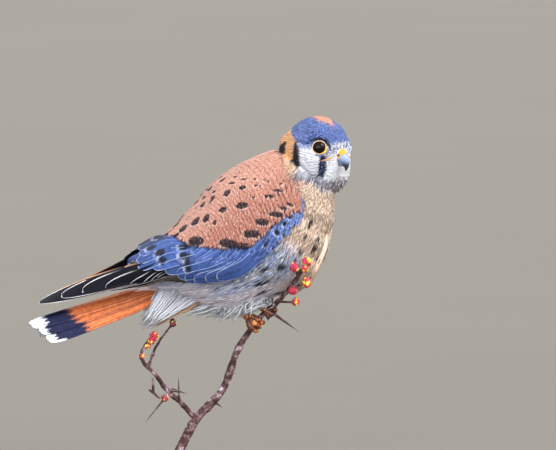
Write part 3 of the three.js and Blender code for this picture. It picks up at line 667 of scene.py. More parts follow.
def plumage_material(name, barbs, roughness, sheen, contrast):
    """Feather: colour from the bird's markings, with fine barbs along each vane."""
    material, tree, shader = blank_material(
        name, roughness, Sheen_Weight=sheen, Sheen_Roughness=0.5, Specular_IOR_Level=0.1)
    shader.inputs["Subsurface Weight"].default_value = sheen * 7
    shader.inputs["Subsurface Radius"].default_value = (1, 0.85, 0.75)
    shader.inputs["Subsurface Scale"].default_value = 0.003
    vane = tree.nodes.new("ShaderNodeUVMap")
    vane.uv_map = "vane"
    lie = tree.nodes.new("ShaderNodeMapping")
    lie.inputs["Rotation"].default_value = (0, 0, math.radians(35))
    lie.inputs["Scale"].default_value = (barbs, 1.5, 1)
    tree.links.new(vane.outputs["UV"], lie.inputs["Vector"])
    streaks = noise_layer(tree, lie.outputs["Vector"], 6, 3)
    blotch = noise_layer(tree, object_coords(tree), 420, 2)
    shade = tree.nodes.new("ShaderNodeMath")
    shade.operation = "ADD"
    tree.links.new(streaks, shade.inputs[0])
    tree.links.new(blotch, shade.inputs[1])
    toned_paint(tree, shader, "plumage", shade.outputs[0], (0.7, 1.3), (1 - contrast, 1 + contrast))
    bump(tree, shader, streaks, 0.2, 0.0001)
    return material


small_feather = plumage_material("small_feathers", 5, 0.75, 0.04, 0.07)
large_feather = plumage_material("large_feathers", 9, 0.6, 0, 0.35)
skin.data.materials.clear()
skin.data.materials.append(small_feather)
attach(skin, "root")
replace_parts(skin, "head", "neck", "torso", "leg_right", "leg_left")

# Head feathers
# Thousands of thin pointed feathers, each a closed sliver of mesh, lie back from the bill over
# the head. They are shortest round the eyes and the bill, and hang over the neck as a ruff.
EYE_AT = np.array([10.8, 12.6, 4.6])
EYE_AXIS = unit(np.array([0.62, 0.75, 0.16]))
EYE_SUNK = 1.3
LID_RADIUS = 4.3
EYE_BALL = 5.3
BILL_ROOT = np.array([20.0, 0, -2.0])
BILL_HALF = (5.2, 5.6)  # half width and half height of the bare place round the bill
LID_GAP = 0.5
TUFT_STEPS = np.array([0.0, 0.35, 0.72, 1.0])
TUFT_WIDTH = np.array([0.55, 1.0, 0.72])
TUFT_RIDGE = np.array([0.07, 0.06, 0.04])
# Painted shade and light along each sliver: darker at the root, where the feathers over it shade
# it, and a little lighter at the tip.
TUFT_PAINTED_SHADE = np.array([0.88, 0.96, 1.0, 1.04])
TUFT_QUADS = [
    (s + k, s + (k + 1) % 3, s + 3 + (k + 1) % 3, s + 3 + k) for s in (0, 3) for k in range(3)
]
TUFT_TRIS = [(0, 2, 1)] + [(6 + k, 6 + (k + 1) % 3, 9) for k in range(3)]
form_trees = {}
trunk_coat_form = rings_form(trunk_point(trunk_t, trunk_a, -0.6))
coat_forms = {"trunk": trunk_coat_form, "head": head_form, "cape": cape_form}
for form_name, (points, faces) in coat_forms.items():
    corners = [face for group in faces for face in group.tolist()]
    form_trees[form_name] = BVHTree.FromPolygons(points.tolist(), corners)


def inside(form_name, points, depth):
    """True for points that lie deeper than this in a form."""
    hidden = np.zeros(len(points), bool)
    for i, p in enumerate(points.tolist()):
        place, normal, _, gap = form_trees[form_name].find_nearest(p)
        hidden[i] = gap > depth and (Vector(p) - place).dot(normal) < 0
    return hidden


def spread_evenly(count, seed):
    """Three columns of evenly spread numbers from 0 to 1."""
    root = 1.2207440846  # x for which x^4 = x + 1
    steps = np.array([1 / root, 1 / root**2, 1 / root**3])
    jitter = np.random.default_rng(seed).random((count, 3)) / math.sqrt(count)
    return (seed * 0.137 + np.arange(1, count + 1)[:, None] * steps + jitter * 1.4) % 1


def free_line(root, lie, out, long, rise, bow):
    """Four places along each feather, which leaves the skin and bends back to it."""
    u = TUFT_STEPS[None, :, None]
    long, rise, bow = (np.broadcast_to(x, len(root))[:, None, None] for x in (long, rise, bow))
    return root[:, None] + lie[:, None] * long * u + out[:, None] * long * (rise * u - bow * u**2)


def paint_places(line):
    """Where each ring takes its colour. Only a feather's last part shows, so it takes the tip's."""
    third = line[:, 2:3] * 0.3 + line[:, 3:] * 0.7
    return np.concatenate([line[:, :2], third, line[:, 3:]], axis=1)


def tuft_mesh(name, line, out, wide, colour, bake):
    """Closed three-sided slivers, each along its four places, tapered to a point."""
    count = len(line)
    along = unit(line[:, 1:] - line[:, :-1])
    across = unit(np.cross(along, out[:, None]))
    wide = np.broadcast_to(wide, count)[:, None, None]
    half = across * wide * TUFT_WIDTH[None, :, None] / 2
    ridge = out[:, None] * wide * TUFT_RIDGE[None, :, None]
    body = np.stack([line[:, :3] - half, line[:, :3] + ridge, line[:, :3] + half], axis=2)
    points = np.concatenate([body.reshape(count, 9, 3), line[:, 3:]], axis=1)
    shift = (np.arange(count) * 10)[:, None, None]
    faces = [(np.array(f)[None] + shift).reshape(-1, len(f[0])) for f in (TUFT_QUADS, TUFT_TRIS)]
    piece = mesh_piece(name, points, faces, small_feather)
    # Each sliver is painted darker at its root as shade, and a little lighter at its tip as light.
    shaded = colour * TUFT_PAINTED_SHADE[None, :, None]
    shaded = np.concatenate([np.repeat(shaded[:, :3], 3, axis=1), shaded[:, 3:]], axis=1)
    set_colours(piece, "plumage", shaded)
    steps = np.append(np.repeat(TUFT_STEPS[:3], 3), TUFT_STEPS[3])
    sideways = np.array([-1, 0, 1] * 3 + [0])
    patch = np.stack([sideways * 0.0015, steps * 0.003 - 0.0015], -1)
    set_map(piece, "OFBake", bake[:, None] + patch[None])
    own = steps + np.arange(count)[:, None] * 0.37 % 7
    set_map(piece, "vane", np.stack([np.broadcast_to(sideways, own.shape), own], -1))


def head_coat(name, count, seed):
    n = spread_evenly(count, seed)
    d = way_out(2 * n[:, 0] - 1, 2 * math.pi * n[:, 1])
    local = d * head_reach(d)[:, None]
    side = np.abs(local[:, 1])
    bill = np.hypot(side / BILL_HALF[0], (local[:, 2] - 0.4) / BILL_HALF[1]) < 1
    bill = bill | ((side < 3.4) & (np.abs(local[:, 2] + 5.5) < 2.5))
    from_eye = np.stack([local[:, 0], side, local[:, 2]], -1) - EYE_AT
    ahead = dot(from_eye, EYE_AXIS)
    rim = np.linalg.norm(from_eye - ahead * EYE_AXIS, axis=1) - LID_RADIUS - LID_GAP
    by_eye = ahead[:, 0] > -3
    p = head_point(d, np.full(len(d), -SKIN_DEPTH))
    keep = ~(bill & (d[:, 0] > 0)) & ~((rim < 0) & by_eye) & ~inside("trunk", p, 1.5)
    d, local, p, rim, by_eye, grain = (x[keep] for x in (d, local, p, rim, by_eye, n[:, 2]))
    a = unit(np.cross(d, np.array([0.1, 0.2, 1.0])))
    b = np.cross(d, a)
    slope_a = head_point(unit(d + a * 0.03)) - head_point(unit(d - a * 0.03))
    slope_b = head_point(unit(d + b * 0.03)) - head_point(unit(d - b * 0.03))
    out = unit(np.cross(slope_a, slope_b))
    out = out * np.sign(dot(out, d @ HEAD_AXES))
    droop = smooth_step(-d[:, 0] - d[:, 2], 0.2, 0.9)[:, None]
    flow = (unit(local - BILL_ROOT) + droop * np.array([-0.5, 0, -1.2])) @ HEAD_AXES
    lie = unit(flow - out * dot(flow, out))
    lie = unit(lie + np.cross(out, lie) * (grain * 7.3 % 1 - 0.5)[:, None] * 0.25)
    face = smooth_step(d[:, 0], 0.35, 0.85)
    ruff = smooth_step(-d[:, 2], 0.35, 0.75)
    long = 4.4 - 2.0 * face * (1 - ruff) + 4.6 * ruff + 1.0 * smooth_step(-d[:, 0], 0.3, 0.8)
    long = long * (0.8 + 0.4 * grain)
    long = np.where(by_eye & (rim < 5), np.minimum(long, 0.6 + 0.85 * rim), long)
    wide = 0.13 * long + 0.42
    rise = 0.22 + 0.14 * ruff + 0.12 * (grain * 3.7 % 1)
    line = free_line(p, lie, out, long, rise, 0.16 - 0.08 * ruff)
    ring_d, drop, _ = head_share(paint_places(line))
    colour = head_colour(ring_d, np.broadcast_to(grain[:, None], line.shape[:2]), drop)
    around = np.arctan2(d[:, 1], d[:, 0]) / (2 * math.pi) % 1
    bake = bake_place(around, np.arccos(np.clip(d[:, 2], -1, 1)) / math.pi)
    tuft_mesh(name, line, out, wide, colour, bake)


head_coat("head_feathers", 11500, 1)
head_coat("head_feathers_upper", 9500, 2)

# Neck, breast and belly feathers
# The feathers of the trunk lie back from the neck to the tail. They are short and close on the
# breast, long and loose on the flanks and under the tail.
TRUNK_COATS = [  # name, count, along, degrees down from the back, long, wide, rise, droop
    ("neck_feathers", 11500, (0.02, 0.24), (0, 180), 7.5, 1.1, 0.12, 0.0),
    ("breast_feathers", 12000, (0.19, 0.38), (70, 180), 10.0, 1.35, 0.05, 0.0),
    ("lower_breast_feathers", 12000, (0.36, 0.52), (70, 180), 12.0, 1.1, 0.09, 0.1),
    ("belly_feathers", 11500, (0.50, 0.68), (60, 180), 13.0, 0.9, 0.14, 0.0),
    ("vent_feathers", 5000, (0.64, 0.78), (50, 180), 11.0, 1.1, 0.12, -0.1),
]


def trunk_coat(name, count, seed, t_range, down_range, long, wide, rise, droop):
    n = spread_evenly(count, seed)
    t = t_range[0] + (t_range[1] - t_range[0]) * n[:, 0]
    side = np.where(n[:, 1] < 0.5, -1, 1)
    share = np.abs(2 * n[:, 1] - 1)
    angle = side * np.radians(down_range[0] + (down_range[1] - down_range[0]) * share)
    p = trunk_point(t, angle, -SKIN_DEPTH)
    along = trunk_point(t + 0.01, angle) - trunk_point(t - 0.01, angle)
    around = trunk_point(t, angle + 0.02) - trunk_point(t, angle - 0.02)
    out = unit(np.cross(around, along))
    out = out * np.sign(dot(out, p - trunk_point(t, angle, -8)))
    area = np.linalg.norm(np.cross(along, around), axis=1)
    keep = n[:, 2] < area / np.percentile(area, 90)
    keep = keep & ~inside("head", p, 1.0) & ~inside("cape", p, 1.0)
    t, angle, p, along, out = (x[keep] for x in (t, angle, p, along, out))
    rate = 0.02 / np.linalg.norm(along, axis=1)
    grain, turn, size, lift = (random_shares(len(t), seed + k) for k in range(4))
    lie = unit(along) + np.cross(out, unit(along)) * (turn - 0.5)[:, None] * 0.15
    lie = lie + np.array([0, 0, -droop])
    lie = unit(lie - out * dot(lie, out))
    long = long * (0.7 + 0.6 * size)
    line = free_line(p, lie, out, long, rise * (0.85 + 0.3 * lift), rise * 0.66)
    ring_t = np.clip(t[:, None] + (rate * long)[:, None] * np.array([0, 0.35, 0.9, 1]), 0, 0.99)
    ring_a, ring_grain = (np.broadcast_to(x[:, None], ring_t.shape) for x in (angle, grain))
    ring_d, drop, near_head = head_share(paint_places(line))
    colour = trunk_colour(ring_t, ring_a, ring_grain)
    colour = blend(colour, head_colour(ring_d, ring_grain, drop), near_head)
    bake = bake_place(t, angle / (2 * math.pi) % 1)
    tuft_mesh(name, line, out, wide * (0.8 + 0.4 * size), colour, bake)


for number, (name, count, *settings) in enumerate(TRUNK_COATS):
    trunk_coat(name, count, 11 + 7 * number, *settings)

# Back and shoulder feathers
# Soft rusty feathers cover the back and the shoulders, and sweep down over the folded wings. They
# carry black spots on the back, and wide black bars along their lower edge.
MARK_GROWTH = 1.1
MARK_HEIGHT = 0.4  # over the folded wing's form
LEFT_SHIFT = [0.16, 5, 0.5, 0.4]  # how far the left wing's marks stray from the right wing's
BACK_LEAN = math.radians(62)
WING_LEAN = math.radians(24)
MANTLE_PALE = np.array([0.92, 0.66, 0.56])
SPOT_HEM_RUST = np.array([0.93, 0.66, 0.55])
BACK_MARKS = np.array([  # station, degrees, half width across and half length along the feathers
    [1.38, 16, 0.7, 0.8], [1.88, 6, 1.7, 2.0], [1.55, 17, 1.3, 0.8], [1.40, 28, 2.1, 0.8],
    [1.78, 22, 2.3, 0.8], [1.58, 36, 2.0, 1.8], [1.12, 35, 1.4, 0.5], [1.15, 43, 2.0, 0.6],
    [0.85, 42, 1.8, 0.7], [0.50, 54, 2.0, 0.7], [0.68, 58, 3.2, 1.2], [0.98, 59, 2.5, 1.4],
    [1.43, 52, 1.0, 0.5], [2.33, 0, 1.6, 1.9], [2.35, 12, 1.9, 1.1], [2.55, 18, 1.9, 2.3],
    [2.08, 29, 2.1, 2.7], [2.65, 0, 2.3, 1.1], [2.90, 10, 2.1, 2.1], [3.03, -4, 1.1, 1.1],
    [2.50, 41, 2.6, 2.1], [1.90, 52, 3.4, 2.2], [3.10, 33, 2.2, 3.1], [2.95, 46, 1.3, 1.6],
    [3.40, 23, 3.1, 3.1], [3.40, -8, 3.6, 1.9], [3.78, 14, 3.0, 3.0], [4.10, 15, 2.0, 2.5],
    [3.70, 50, 5.3, 3.0], [2.85, 76, 5.4, 2.6], [2.05, 80, 4.8, 2.3], [2.45, 86, 3.4, 2.1],
    [2.10, 92, 1.6, 2.0], [1.55, 76, 3.8, 2.1], [1.03, 77, 4.2, 1.6], [0.78, 76, 2.7, 1.4],
    [0.55, 78, 2.1, 1.0],
])
BLUE_MARKS = np.array([
    [1.28, 82, 1.5, 1.7], [1.15, 90, 1.8, 1.6], [0.83, 88, 1.1, 1.6], [0.60, 86, 0.9, 1.8],
    [1.70, 94, 1.0, 2.0], [0.25, 90, 0.6, 1.8], [4.60, 5, 4.6, 3.6], [5.12, 28, 3.2, 3.6],
    [4.10, 45, 2.6, 3.0], [4.20, 65, 3.2, 3.4], [4.17, 84, 3.6, 2.4], [0.95, 97, 1.0, 1.2],
    [1.45, 101, 1.2, 1.2], [4.95, 48, 3.2, 3.2], [5.0, 66, 2.8, 2.6],
])


def shaken(table, seed, reach):
    """Moves each row of a table a little at random."""
    return table + (np.random.default_rng(seed).random(table.shape) - 0.5) * reach


def back_turn(station, degrees):
    """How far the lie of the back feathers turns down from the length of the wing, in radians."""
    weaker = 1 - 0.6 * smooth_step(station, 3.0, 4.4)
    return BACK_LEAN * smooth_step(np.abs(degrees), 0, 40) * weaker


def wing_turn(station, degrees):
    """The same for the wing coverts, which all turn alike at one station."""
    return WING_LEAN * fade(station, 2.6, 4.2)


def cloak_flow(station, degrees, turn):
    """Change of station and degrees for each millimetre along the lie."""
    back, down = cloak_slopes(station, degrees)
    back, down = np.linalg.norm(back, axis=-1) / 0.1, np.linalg.norm(down, axis=-1) / 2
    return np.stack([np.cos(turn) / back, np.sin(turn) / down], -1)


def cloak_marks(table, turn, side):
    """Centre, directions and half sizes of each mark on one wing."""
    if side > 0:
        table = shaken(table, 5, LEFT_SHIFT)
    station, degrees = table[:, 0], table[:, 1]
    flow = cloak_flow(station, degrees, turn(station, degrees))
    place = cloak_point(station, degrees)
    along = unit(cloak_point(station + flow[:, 0], degrees + flow[:, 1]) - place)
    out = cloak_out(station, degrees)
    mirror = np.array([1, side, 1])
    frame_axes = np.stack([np.cross(out, along), along, out], axis=1) * mirror
    height = MARK_HEIGHT - cloak_sink(station, degrees)
    centre = (place + out * height[:, None]) * mirror
    return centre, frame_axes, table[:, 2:4] * MARK_GROWTH


def paint_marks(points, colour, marks, pale):
    """Paints black marks at places on the wing, each with a pale hem on its lower side."""
    shape = colour.shape
    points, colour = points.reshape(-1, 3), colour.reshape(-1, 3).copy()
    for centre, axes, (half_wide, half_long) in zip(*marks):
        close = np.flatnonzero(np.linalg.norm(points - centre, axis=1) < half_wide + half_long + 4)
        q = (points[close] - centre) @ axes.T / [half_wide, half_long, 5]
        ring = np.sqrt(np.abs(q[:, 0]) ** 2.4 + np.abs(q[:, 1]) ** 2.4 + q[:, 2] ** 2)
        hem = fade(ring, 1.0, 1.0 + 1.6 / half_long) * smooth_step(q[:, 1], 0.2, 0.7)
        colour[close] = blend(colour[close], pale, hem * 0.55)
        colour[close] = blend(colour[close], BLACK, fade(ring, 0.86, 1.08) * 0.97)
    return colour.reshape(shape)


def above_cloak(place, height, side):
    """Points at this height over the folded wing, from station and degrees, and the ways out."""
    station, degrees = place[..., 0], place[..., 1]
    out = cloak_out(station, degrees)
    height = height - cloak_sink(station, degrees)
    mirror = np.array([1, side, 1])
    return (cloak_point(station, degrees) + out * height[..., None]) * mirror, out * mirror


def cloak_line(root, flow, long, low, high, side):
    """Four places along each feather that lies on the folded wing."""
    place = root[:, None] + flow[:, None] * (long[:, None] * TUFT_STEPS)[..., None]
    line, out = above_cloak(place, low + (high - low)[:, None] * np.sin(TUFT_STEPS * 2.2), side)
    return line, out[:, 1], place


def rust_colour(place, grain):
    second = another(grain)
    deep = smooth_step(np.abs(place[..., 1]), 15, 65)
    colour = RUST_LIGHT + (RUST_DEEP - RUST_LIGHT) * deep[..., None]
    colour = colour * (0.93 + 0.14 * second)[..., None]
    return blend(colour, MANTLE_PALE, (grain > 0.93) * 0.3)


def back_coat(side, count, seed):
    n = spread_evenly(count, seed)
    station = 0.02 + 4.23 * n[:, 0]
    degrees = -3 + 95 * n[:, 1]
    covered = (degrees < read_off(RUST_EDGE, station)) & (station > read_off(CLOAK_FRONT, degrees))
    root = np.stack([station, degrees], -1)[covered]
    grain, size, turn = (random_shares(len(root), seed + k) for k in range(3))
    lean = back_turn(root[:, 0], root[:, 1]) + (turn - 0.5) * 0.2
    flow = cloak_flow(root[:, 0], root[:, 1], lean)
    long = 6.2 + 2.2 * size
    tip = root + flow * long[:, None]
    keep = tip[:, 1] < read_off(RUST_EDGE, tip[:, 0]) + 2.5 * grain
    root, flow, long, grain, size = (x[keep] for x in (root, flow, long, grain, size))
    line, out, place = cloak_line(root, flow, long, -1.4, 0.35 + 0.2 * grain, side)
    colour = rust_colour(place, np.broadcast_to(grain[:, None], place.shape[:2]))
    marks = cloak_marks(BACK_MARKS, back_turn, side)
    colour = paint_marks(paint_places(line), colour, marks, SPOT_HEM_RUST)
    bake = np.stack([0.05 + 0.2 * root[:, 0], 0.5 + side * root[:, 1] / 220], -1)
    name = f"back_feathers_{SIDES[side]}"
    tuft_mesh(name, line, out, 1.2 + 0.4 * size, colour, bake)


for side in SIDES:
    back_coat(side, 11500, 40 + side)

# Wing coverts
# Smooth blue-grey feathers with small black spots cover the front and the middle of each folded
# wing like roof tiles, and end in a pale hem over the black flight feathers.
COVERT_HEM = np.array([0.45, 0.52, 0.74])
SPOT_HEM_BLUE = np.array([0.5, 0.55, 0.75])
COVERT_GAP = 0.17  # stations from one row to the next
VANE_STEPS = np.array([0, 0.16, 0.34, 0.52, 0.66, 0.76, 0.86, 0.95, 1.0])
VANE_ACROSS = np.array([-1, -0.95, -0.88, -0.68, -0.45, -0.2, 0, 0.2, 0.45, 0.68, 0.88, 0.95, 1])


def round_tip(u):
    return np.minimum(1, 0.5 + 1.6 * u) * np.sqrt(np.maximum(0, 1 - u**5)) + 0.10 * u**8


def vane_mesh(name, line, up, inner, outer, paint, steps, profile, camber, thick, hand):
    """Closed thin vanes, each through a row of places. paint gives the colours of their points."""
    count, rows = line.shape[:2]
    v = VANE_ACROSS
    cols = len(v)
    along = unit(np.gradient(line, axis=1))
    across = unit(np.cross(along, up)) * hand
    inner, outer = (np.broadcast_to(web, count)[:, None] for web in (inner, outer))
    web = np.where(v < 0, inner, outer) * v
    offset = web[:, None, :] * np.broadcast_to(profile(steps), (count, rows))[:, :, None]
    lift = camber * offset - 0.02 * offset**2
    surface = line[:, :, None] + across[:, :, None] * offset[..., None]
    surface = surface + up[:, :, None] * lift[..., None]
    shell = up[:, :, None] * (thick / 2 * (1.15 - steps))[None, :, None, None]
    points = np.stack([surface + shell, surface - shell], axis=1).reshape(count, -1, 3)
    grid = np.arange(rows * cols).reshape(rows, cols)
    corners = grid[:-1, :-1], grid[1:, :-1], grid[1:, 1:], grid[:-1, 1:]
    top = np.stack([corner.ravel() for corner in corners], -1)
    rim = np.concatenate([grid[0, :], grid[1:, -1], grid[-1, -2::-1], grid[-2:0:-1, 0]])
    after = np.roll(rim, -1)
    wall = np.stack([rim, after, after + rows * cols, rim + rows * cols], -1)
    faces = np.concatenate([top, top[:, ::-1] + rows * cols, wall])
    first = points[0] - points[0].mean(axis=0)
    p, q, r = (first[faces[:, n]] for n in (0, 1, 2))
    if np.sum(p * np.cross(q, r)) < 0:
        faces = faces[:, ::-1]
    shift = (np.arange(count) * 2 * rows * cols)[:, None, None]
    piece = mesh_piece(name, points, [(faces[None] + shift).reshape(-1, 4)], large_feather)
    colour = paint(surface, steps[None, :, None], v[None, None])
    # The underside of each vane is painted darker than its top, as shade.
    set_colours(piece, "plumage", np.stack([colour, colour * 0.8], axis=1))
    wide_cells = math.ceil(math.sqrt(count))
    cell = np.stack([np.arange(count) % wide_cells, np.arange(count) // wide_cells], -1)
    sheet = np.stack(crossed(steps, (v + 1) / 2), -1)[..., ::-1].reshape(-1, 2)
    bake = (cell[:, None, None] + 0.06 + 0.88 * sheet[None, None]) / wide_cells
    set_map(piece, "OFBake", np.broadcast_to(bake, (count, 2, rows * cols, 2)))
    own = np.stack(crossed(steps * 3, np.abs(v)), -1)[..., ::-1].reshape(-1, 2)
    own = own[None, None] + (np.arange(count) * 0.61 % 9)[:, None, None, None]
    set_map(piece, "vane", np.broadcast_to(own, (count, 2, rows * cols, 2)))
    return piece


def cloak_rows(root, tip, low, high, steps, side, start, span):
    """Rows of places over the folded wing from each root to each tip, as station and degrees.
    Each row climbs from low to high from the station start on."""
    place = root[:, None] + (tip - root)[:, None] * steps[None, :, None]
    climb = smooth_step(place[..., 0], start[:, None], start[:, None] + span)
    height = low + (np.broadcast_to(high, len(root))[:, None] - low) * climb
    return above_cloak(place, height, side)


def over(share, colour):
    """One share for each point of the vanes."""
    return np.broadcast_to(share, colour.shape[:3])


def wing_coverts(side, seed):
    rows = []
    for k, station in enumerate(np.arange(0.04, 3.4, COVERT_GAP)):
        low = np.interp(station + 0.45, [0, 1, 2, 3, 4], [94, 97, 98, 103, 108])
        edge = read_off(RUST_EDGE, station + 0.3)
        for degrees in np.arange(low - (0 if k % 2 else 2.5), edge - 8, -5):
            rows.append((station, degrees - 4))
    root = shaken(np.array(rows), seed, [0.1, 2.0])
    size = 6.5 + 2.8 * root[:, 0]
    flow = cloak_flow(root[:, 0], root[:, 1], wing_turn(root[:, 0], root[:, 1]))
    tip = root + flow * size[:, None]
    grain = random_shares(len(root), seed + 2)
    line, up = cloak_rows(root, tip, -1.9, -0.7 + 0.3 * grain, VANE_STEPS, side, root[:, 0], 0.25)
    base = WING_FRONT + (WING_BLUE - WING_FRONT) * smooth_step(root[:, 0:1], 0.2, 1.8)
    base = base * (0.7 + 0.6 * grain)[:, None]
    marks = cloak_marks(BLUE_MARKS, wing_turn, side)

    def paint(points, u, v):
        colour = np.broadcast_to(base[:, None, None], points.shape)
        colour = colour * (1 - 0.5 * np.exp(-((v / 0.3) ** 2)))[..., None]
        hem = np.maximum(smooth_step(u, 0.88, 1.0), smooth_step(np.abs(v), 0.85, 1.0)) * 0.35
        colour = blend(colour, COVERT_HEM, over(hem, colour))
        return paint_marks(points, colour, marks, SPOT_HEM_BLUE)

    half = 1.5 + 0.55 * root[:, 0]
    vane_mesh(f"wing_coverts_{SIDES[side]}", line, up, half, half, paint,
              VANE_STEPS, round_tip, 0.03, 0.2, -side)


for side in SIDES:
    wing_coverts(side, 60 + side)

# Flight feathers
# The long black outer feathers of each wing come out under the blue ones and cross over the tail,
# stacked so that each shows its thin pale edge. The broad blue inner ones lie on top of them.
LONG_STEPS = np.concatenate([np.linspace(0, 0.88, 22), [0.91, 0.935, 0.955, 0.97, 0.98, 0.99, 1.0]])
OUTER_TIPS = np.array([  # station and degrees of each feather's tip
    [8.78, 58], [8.08, 64], [7.5, 77], [6.85, 94], [6.25, 108],
    [5.85, 116], [5.6, 123], [5.4, 128], [5.25, 132],
])
INNER_TIPS = np.array([
    [5.0, 86], [4.6, 98], [5.4, 72], [4.3, 106], [5.85, 62], [4.0, 109],
    [5.8, 46], [3.7, 108], [5.6, 30], [3.4, 106], [5.5, 14], [5.4, 0],
])
LEFT_REACH = 0.97  # the left wing reaches a little less far back
LEFT_DROOP = 3.2
EDGE_BLUE = np.array([0.30, 0.38, 0.62])
EDGE_WHITE = np.array([0.80, 0.78, 0.80])
EDGE_RUST = np.array([0.66, 0.36, 0.20])
EDGE_BROWN = np.array([0.40, 0.33, 0.33])


def long_tip(u):
    return np.minimum(1, 0.6 + 1.2 * u) * np.sqrt(np.maximum(0, 1 - u**12)) + 0.10 * u**16


def pointed_tip(u):
    return np.minimum(1, 0.6 + 1.2 * u) * np.sqrt(np.maximum(0, 1 - u**6)) + 0.06 * u**16


def outer_paint(points, u, v):
    colour = np.broadcast_to(BLACK * 0.5, points.shape)
    side_edge = smooth_step(np.abs(v), 0.89, 0.95)
    tip = np.maximum(smooth_step(u, 0.99, 1.0), side_edge * smooth_step(u, 0.72, 0.9))
    leading = np.arange(len(points))[:, None, None] < 2
    rusty = side_edge * (v < 0) * leading * smooth_step(u, 0.4, 0.62)
    colour = blend(colour, EDGE_RUST, over(rusty * 0.75, colour))
    colour = blend(colour, EDGE_BROWN, over(side_edge * (v > 0) * 0.6, colour))
    return blend(colour, EDGE_WHITE, over(tip * 0.9, colour))


def long_rows(root, tips, low, high, side, start, span):
    """Rows for long feathers. The left wing's hang a little lower towards their tips."""
    line, up = cloak_rows(root, tips, low, high, LONG_STEPS, side, start, span)
    line[..., 2] -= LEFT_DROOP * (side > 0) * smooth_step(-45 - line[..., 0], 0, 45)
    return line, up


def flight_feathers(side, seed):
    where = SIDES[side]
    reach = [1.0 if side < 0 else LEFT_REACH, 1]
    tips = shaken(OUTER_TIPS * reach, seed, [0.05, 2])
    order = np.arange(len(tips))
    root_turn = np.interp(order, [0, 3, 8], [98, 108, 128])
    root = np.stack([np.maximum(tips[:, 0] - 4.3, 3.4), root_turn], -1)
    start = np.interp(order, [0, 3], [5.3, 4.7])
    line, up = long_rows(root, tips, -2.8, 0.2 * order, side, start, 1.2)
    piece = vane_mesh(f"outer_flight_feathers_{where}", line, up, 9 - 0.3 * order, 4.2, outer_paint,
                      LONG_STEPS, pointed_tip, 0.02, 0.3, side)
    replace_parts(piece, f"wing_{where}")

    tips = shaken(INNER_TIPS * reach, seed + 1, [0.06, 2])
    order = np.arange(len(tips))
    lean = 10 * smooth_step(tips[:, 1], 20, 70)
    root = tips - np.stack([2.2 + 0 * lean, lean], -1)
    start = np.minimum(3.75, tips[:, 0] - 1.5)
    line, up = long_rows(root, tips, -2.0, 1.9 + 0.14 * order, side, start, 0.9)
    marks = cloak_marks(BLUE_MARKS, wing_turn, side)
    tone = 0.85 + 0.3 * (order * 0.37 % 1)
    dark = smooth_step(-tips[:, 1], -30, -5)[:, None, None]

    def inner_paint(points, u, v):
        colour = np.broadcast_to((WING_BLUE * tone[:, None])[:, None, None], points.shape)
        colour = colour * (1 - 0.35 * np.exp(-((v / 0.12) ** 2)))[..., None]
        core = fade(np.abs(v), 0.5, 0.8) * smooth_step(u, 0.3, 0.6)
        colour = blend(colour, BLACK * 2, over(core * dark, colour))
        colour = paint_marks(points, colour, marks, SPOT_HEM_BLUE)
        side_edge = smooth_step(np.abs(v), 0.89, 0.97)
        colour = blend(colour, EDGE_BLUE, over(side_edge * 0.6, colour))
        hem = np.maximum(smooth_step(u, 0.978, 0.99), side_edge * smooth_step(u, 0.8, 0.9))
        return blend(colour, EDGE_WHITE, over(hem * 0.32, colour))

    vane_mesh(f"inner_flight_feathers_{where}", line, up, 5.2, 5.0, inner_paint,
              LONG_STEPS, long_tip, 0.02, 0.3, -side)


for side in SIDES:
    flight_feathers(side, 80 + side)

# Tail
# Twelve long rusty feathers lie in a shallow tent, the middle pair on top. Each ends in a broad
# black band and a white tip.
TAIL_BACK = np.array([-0.966, 0, -0.259])
TAIL_ROOT = np.array([-72, 0, 25.5])
TAIL_LONG = 75
TAIL_TENT = math.radians(44)
TAIL_FAN = np.array([  # how much shorter, how far from the middle at the tip, how much white
    [0, 0, 10], [1.2, 2.6, 8], [5.2, 7.2, 5], [5.8, 8.8, 4.5], [8.6, 14.6, 6], [9.6, 16.4, 11],
])
TAIL_RUST = np.array([0.58, 0.165, 0.058])
TAIL_EDGE = np.array([0.88, 0.50, 0.32])
TAIL_BAND = np.array([0.018, 0.020, 0.055])
TAIL_HIDDEN = 18  # how far the feathers start inside the trunk
TAIL_WHOLE = 90  # a feather's length, by which its white end is measured
BAND_START = 0.705  # share of the feather's length
TAIL_STEPS = np.concatenate([
    np.linspace(0, 0.62, 12), np.linspace(0.64, 0.94, 14), [0.955, 0.97, 0.985, 1.0],
])


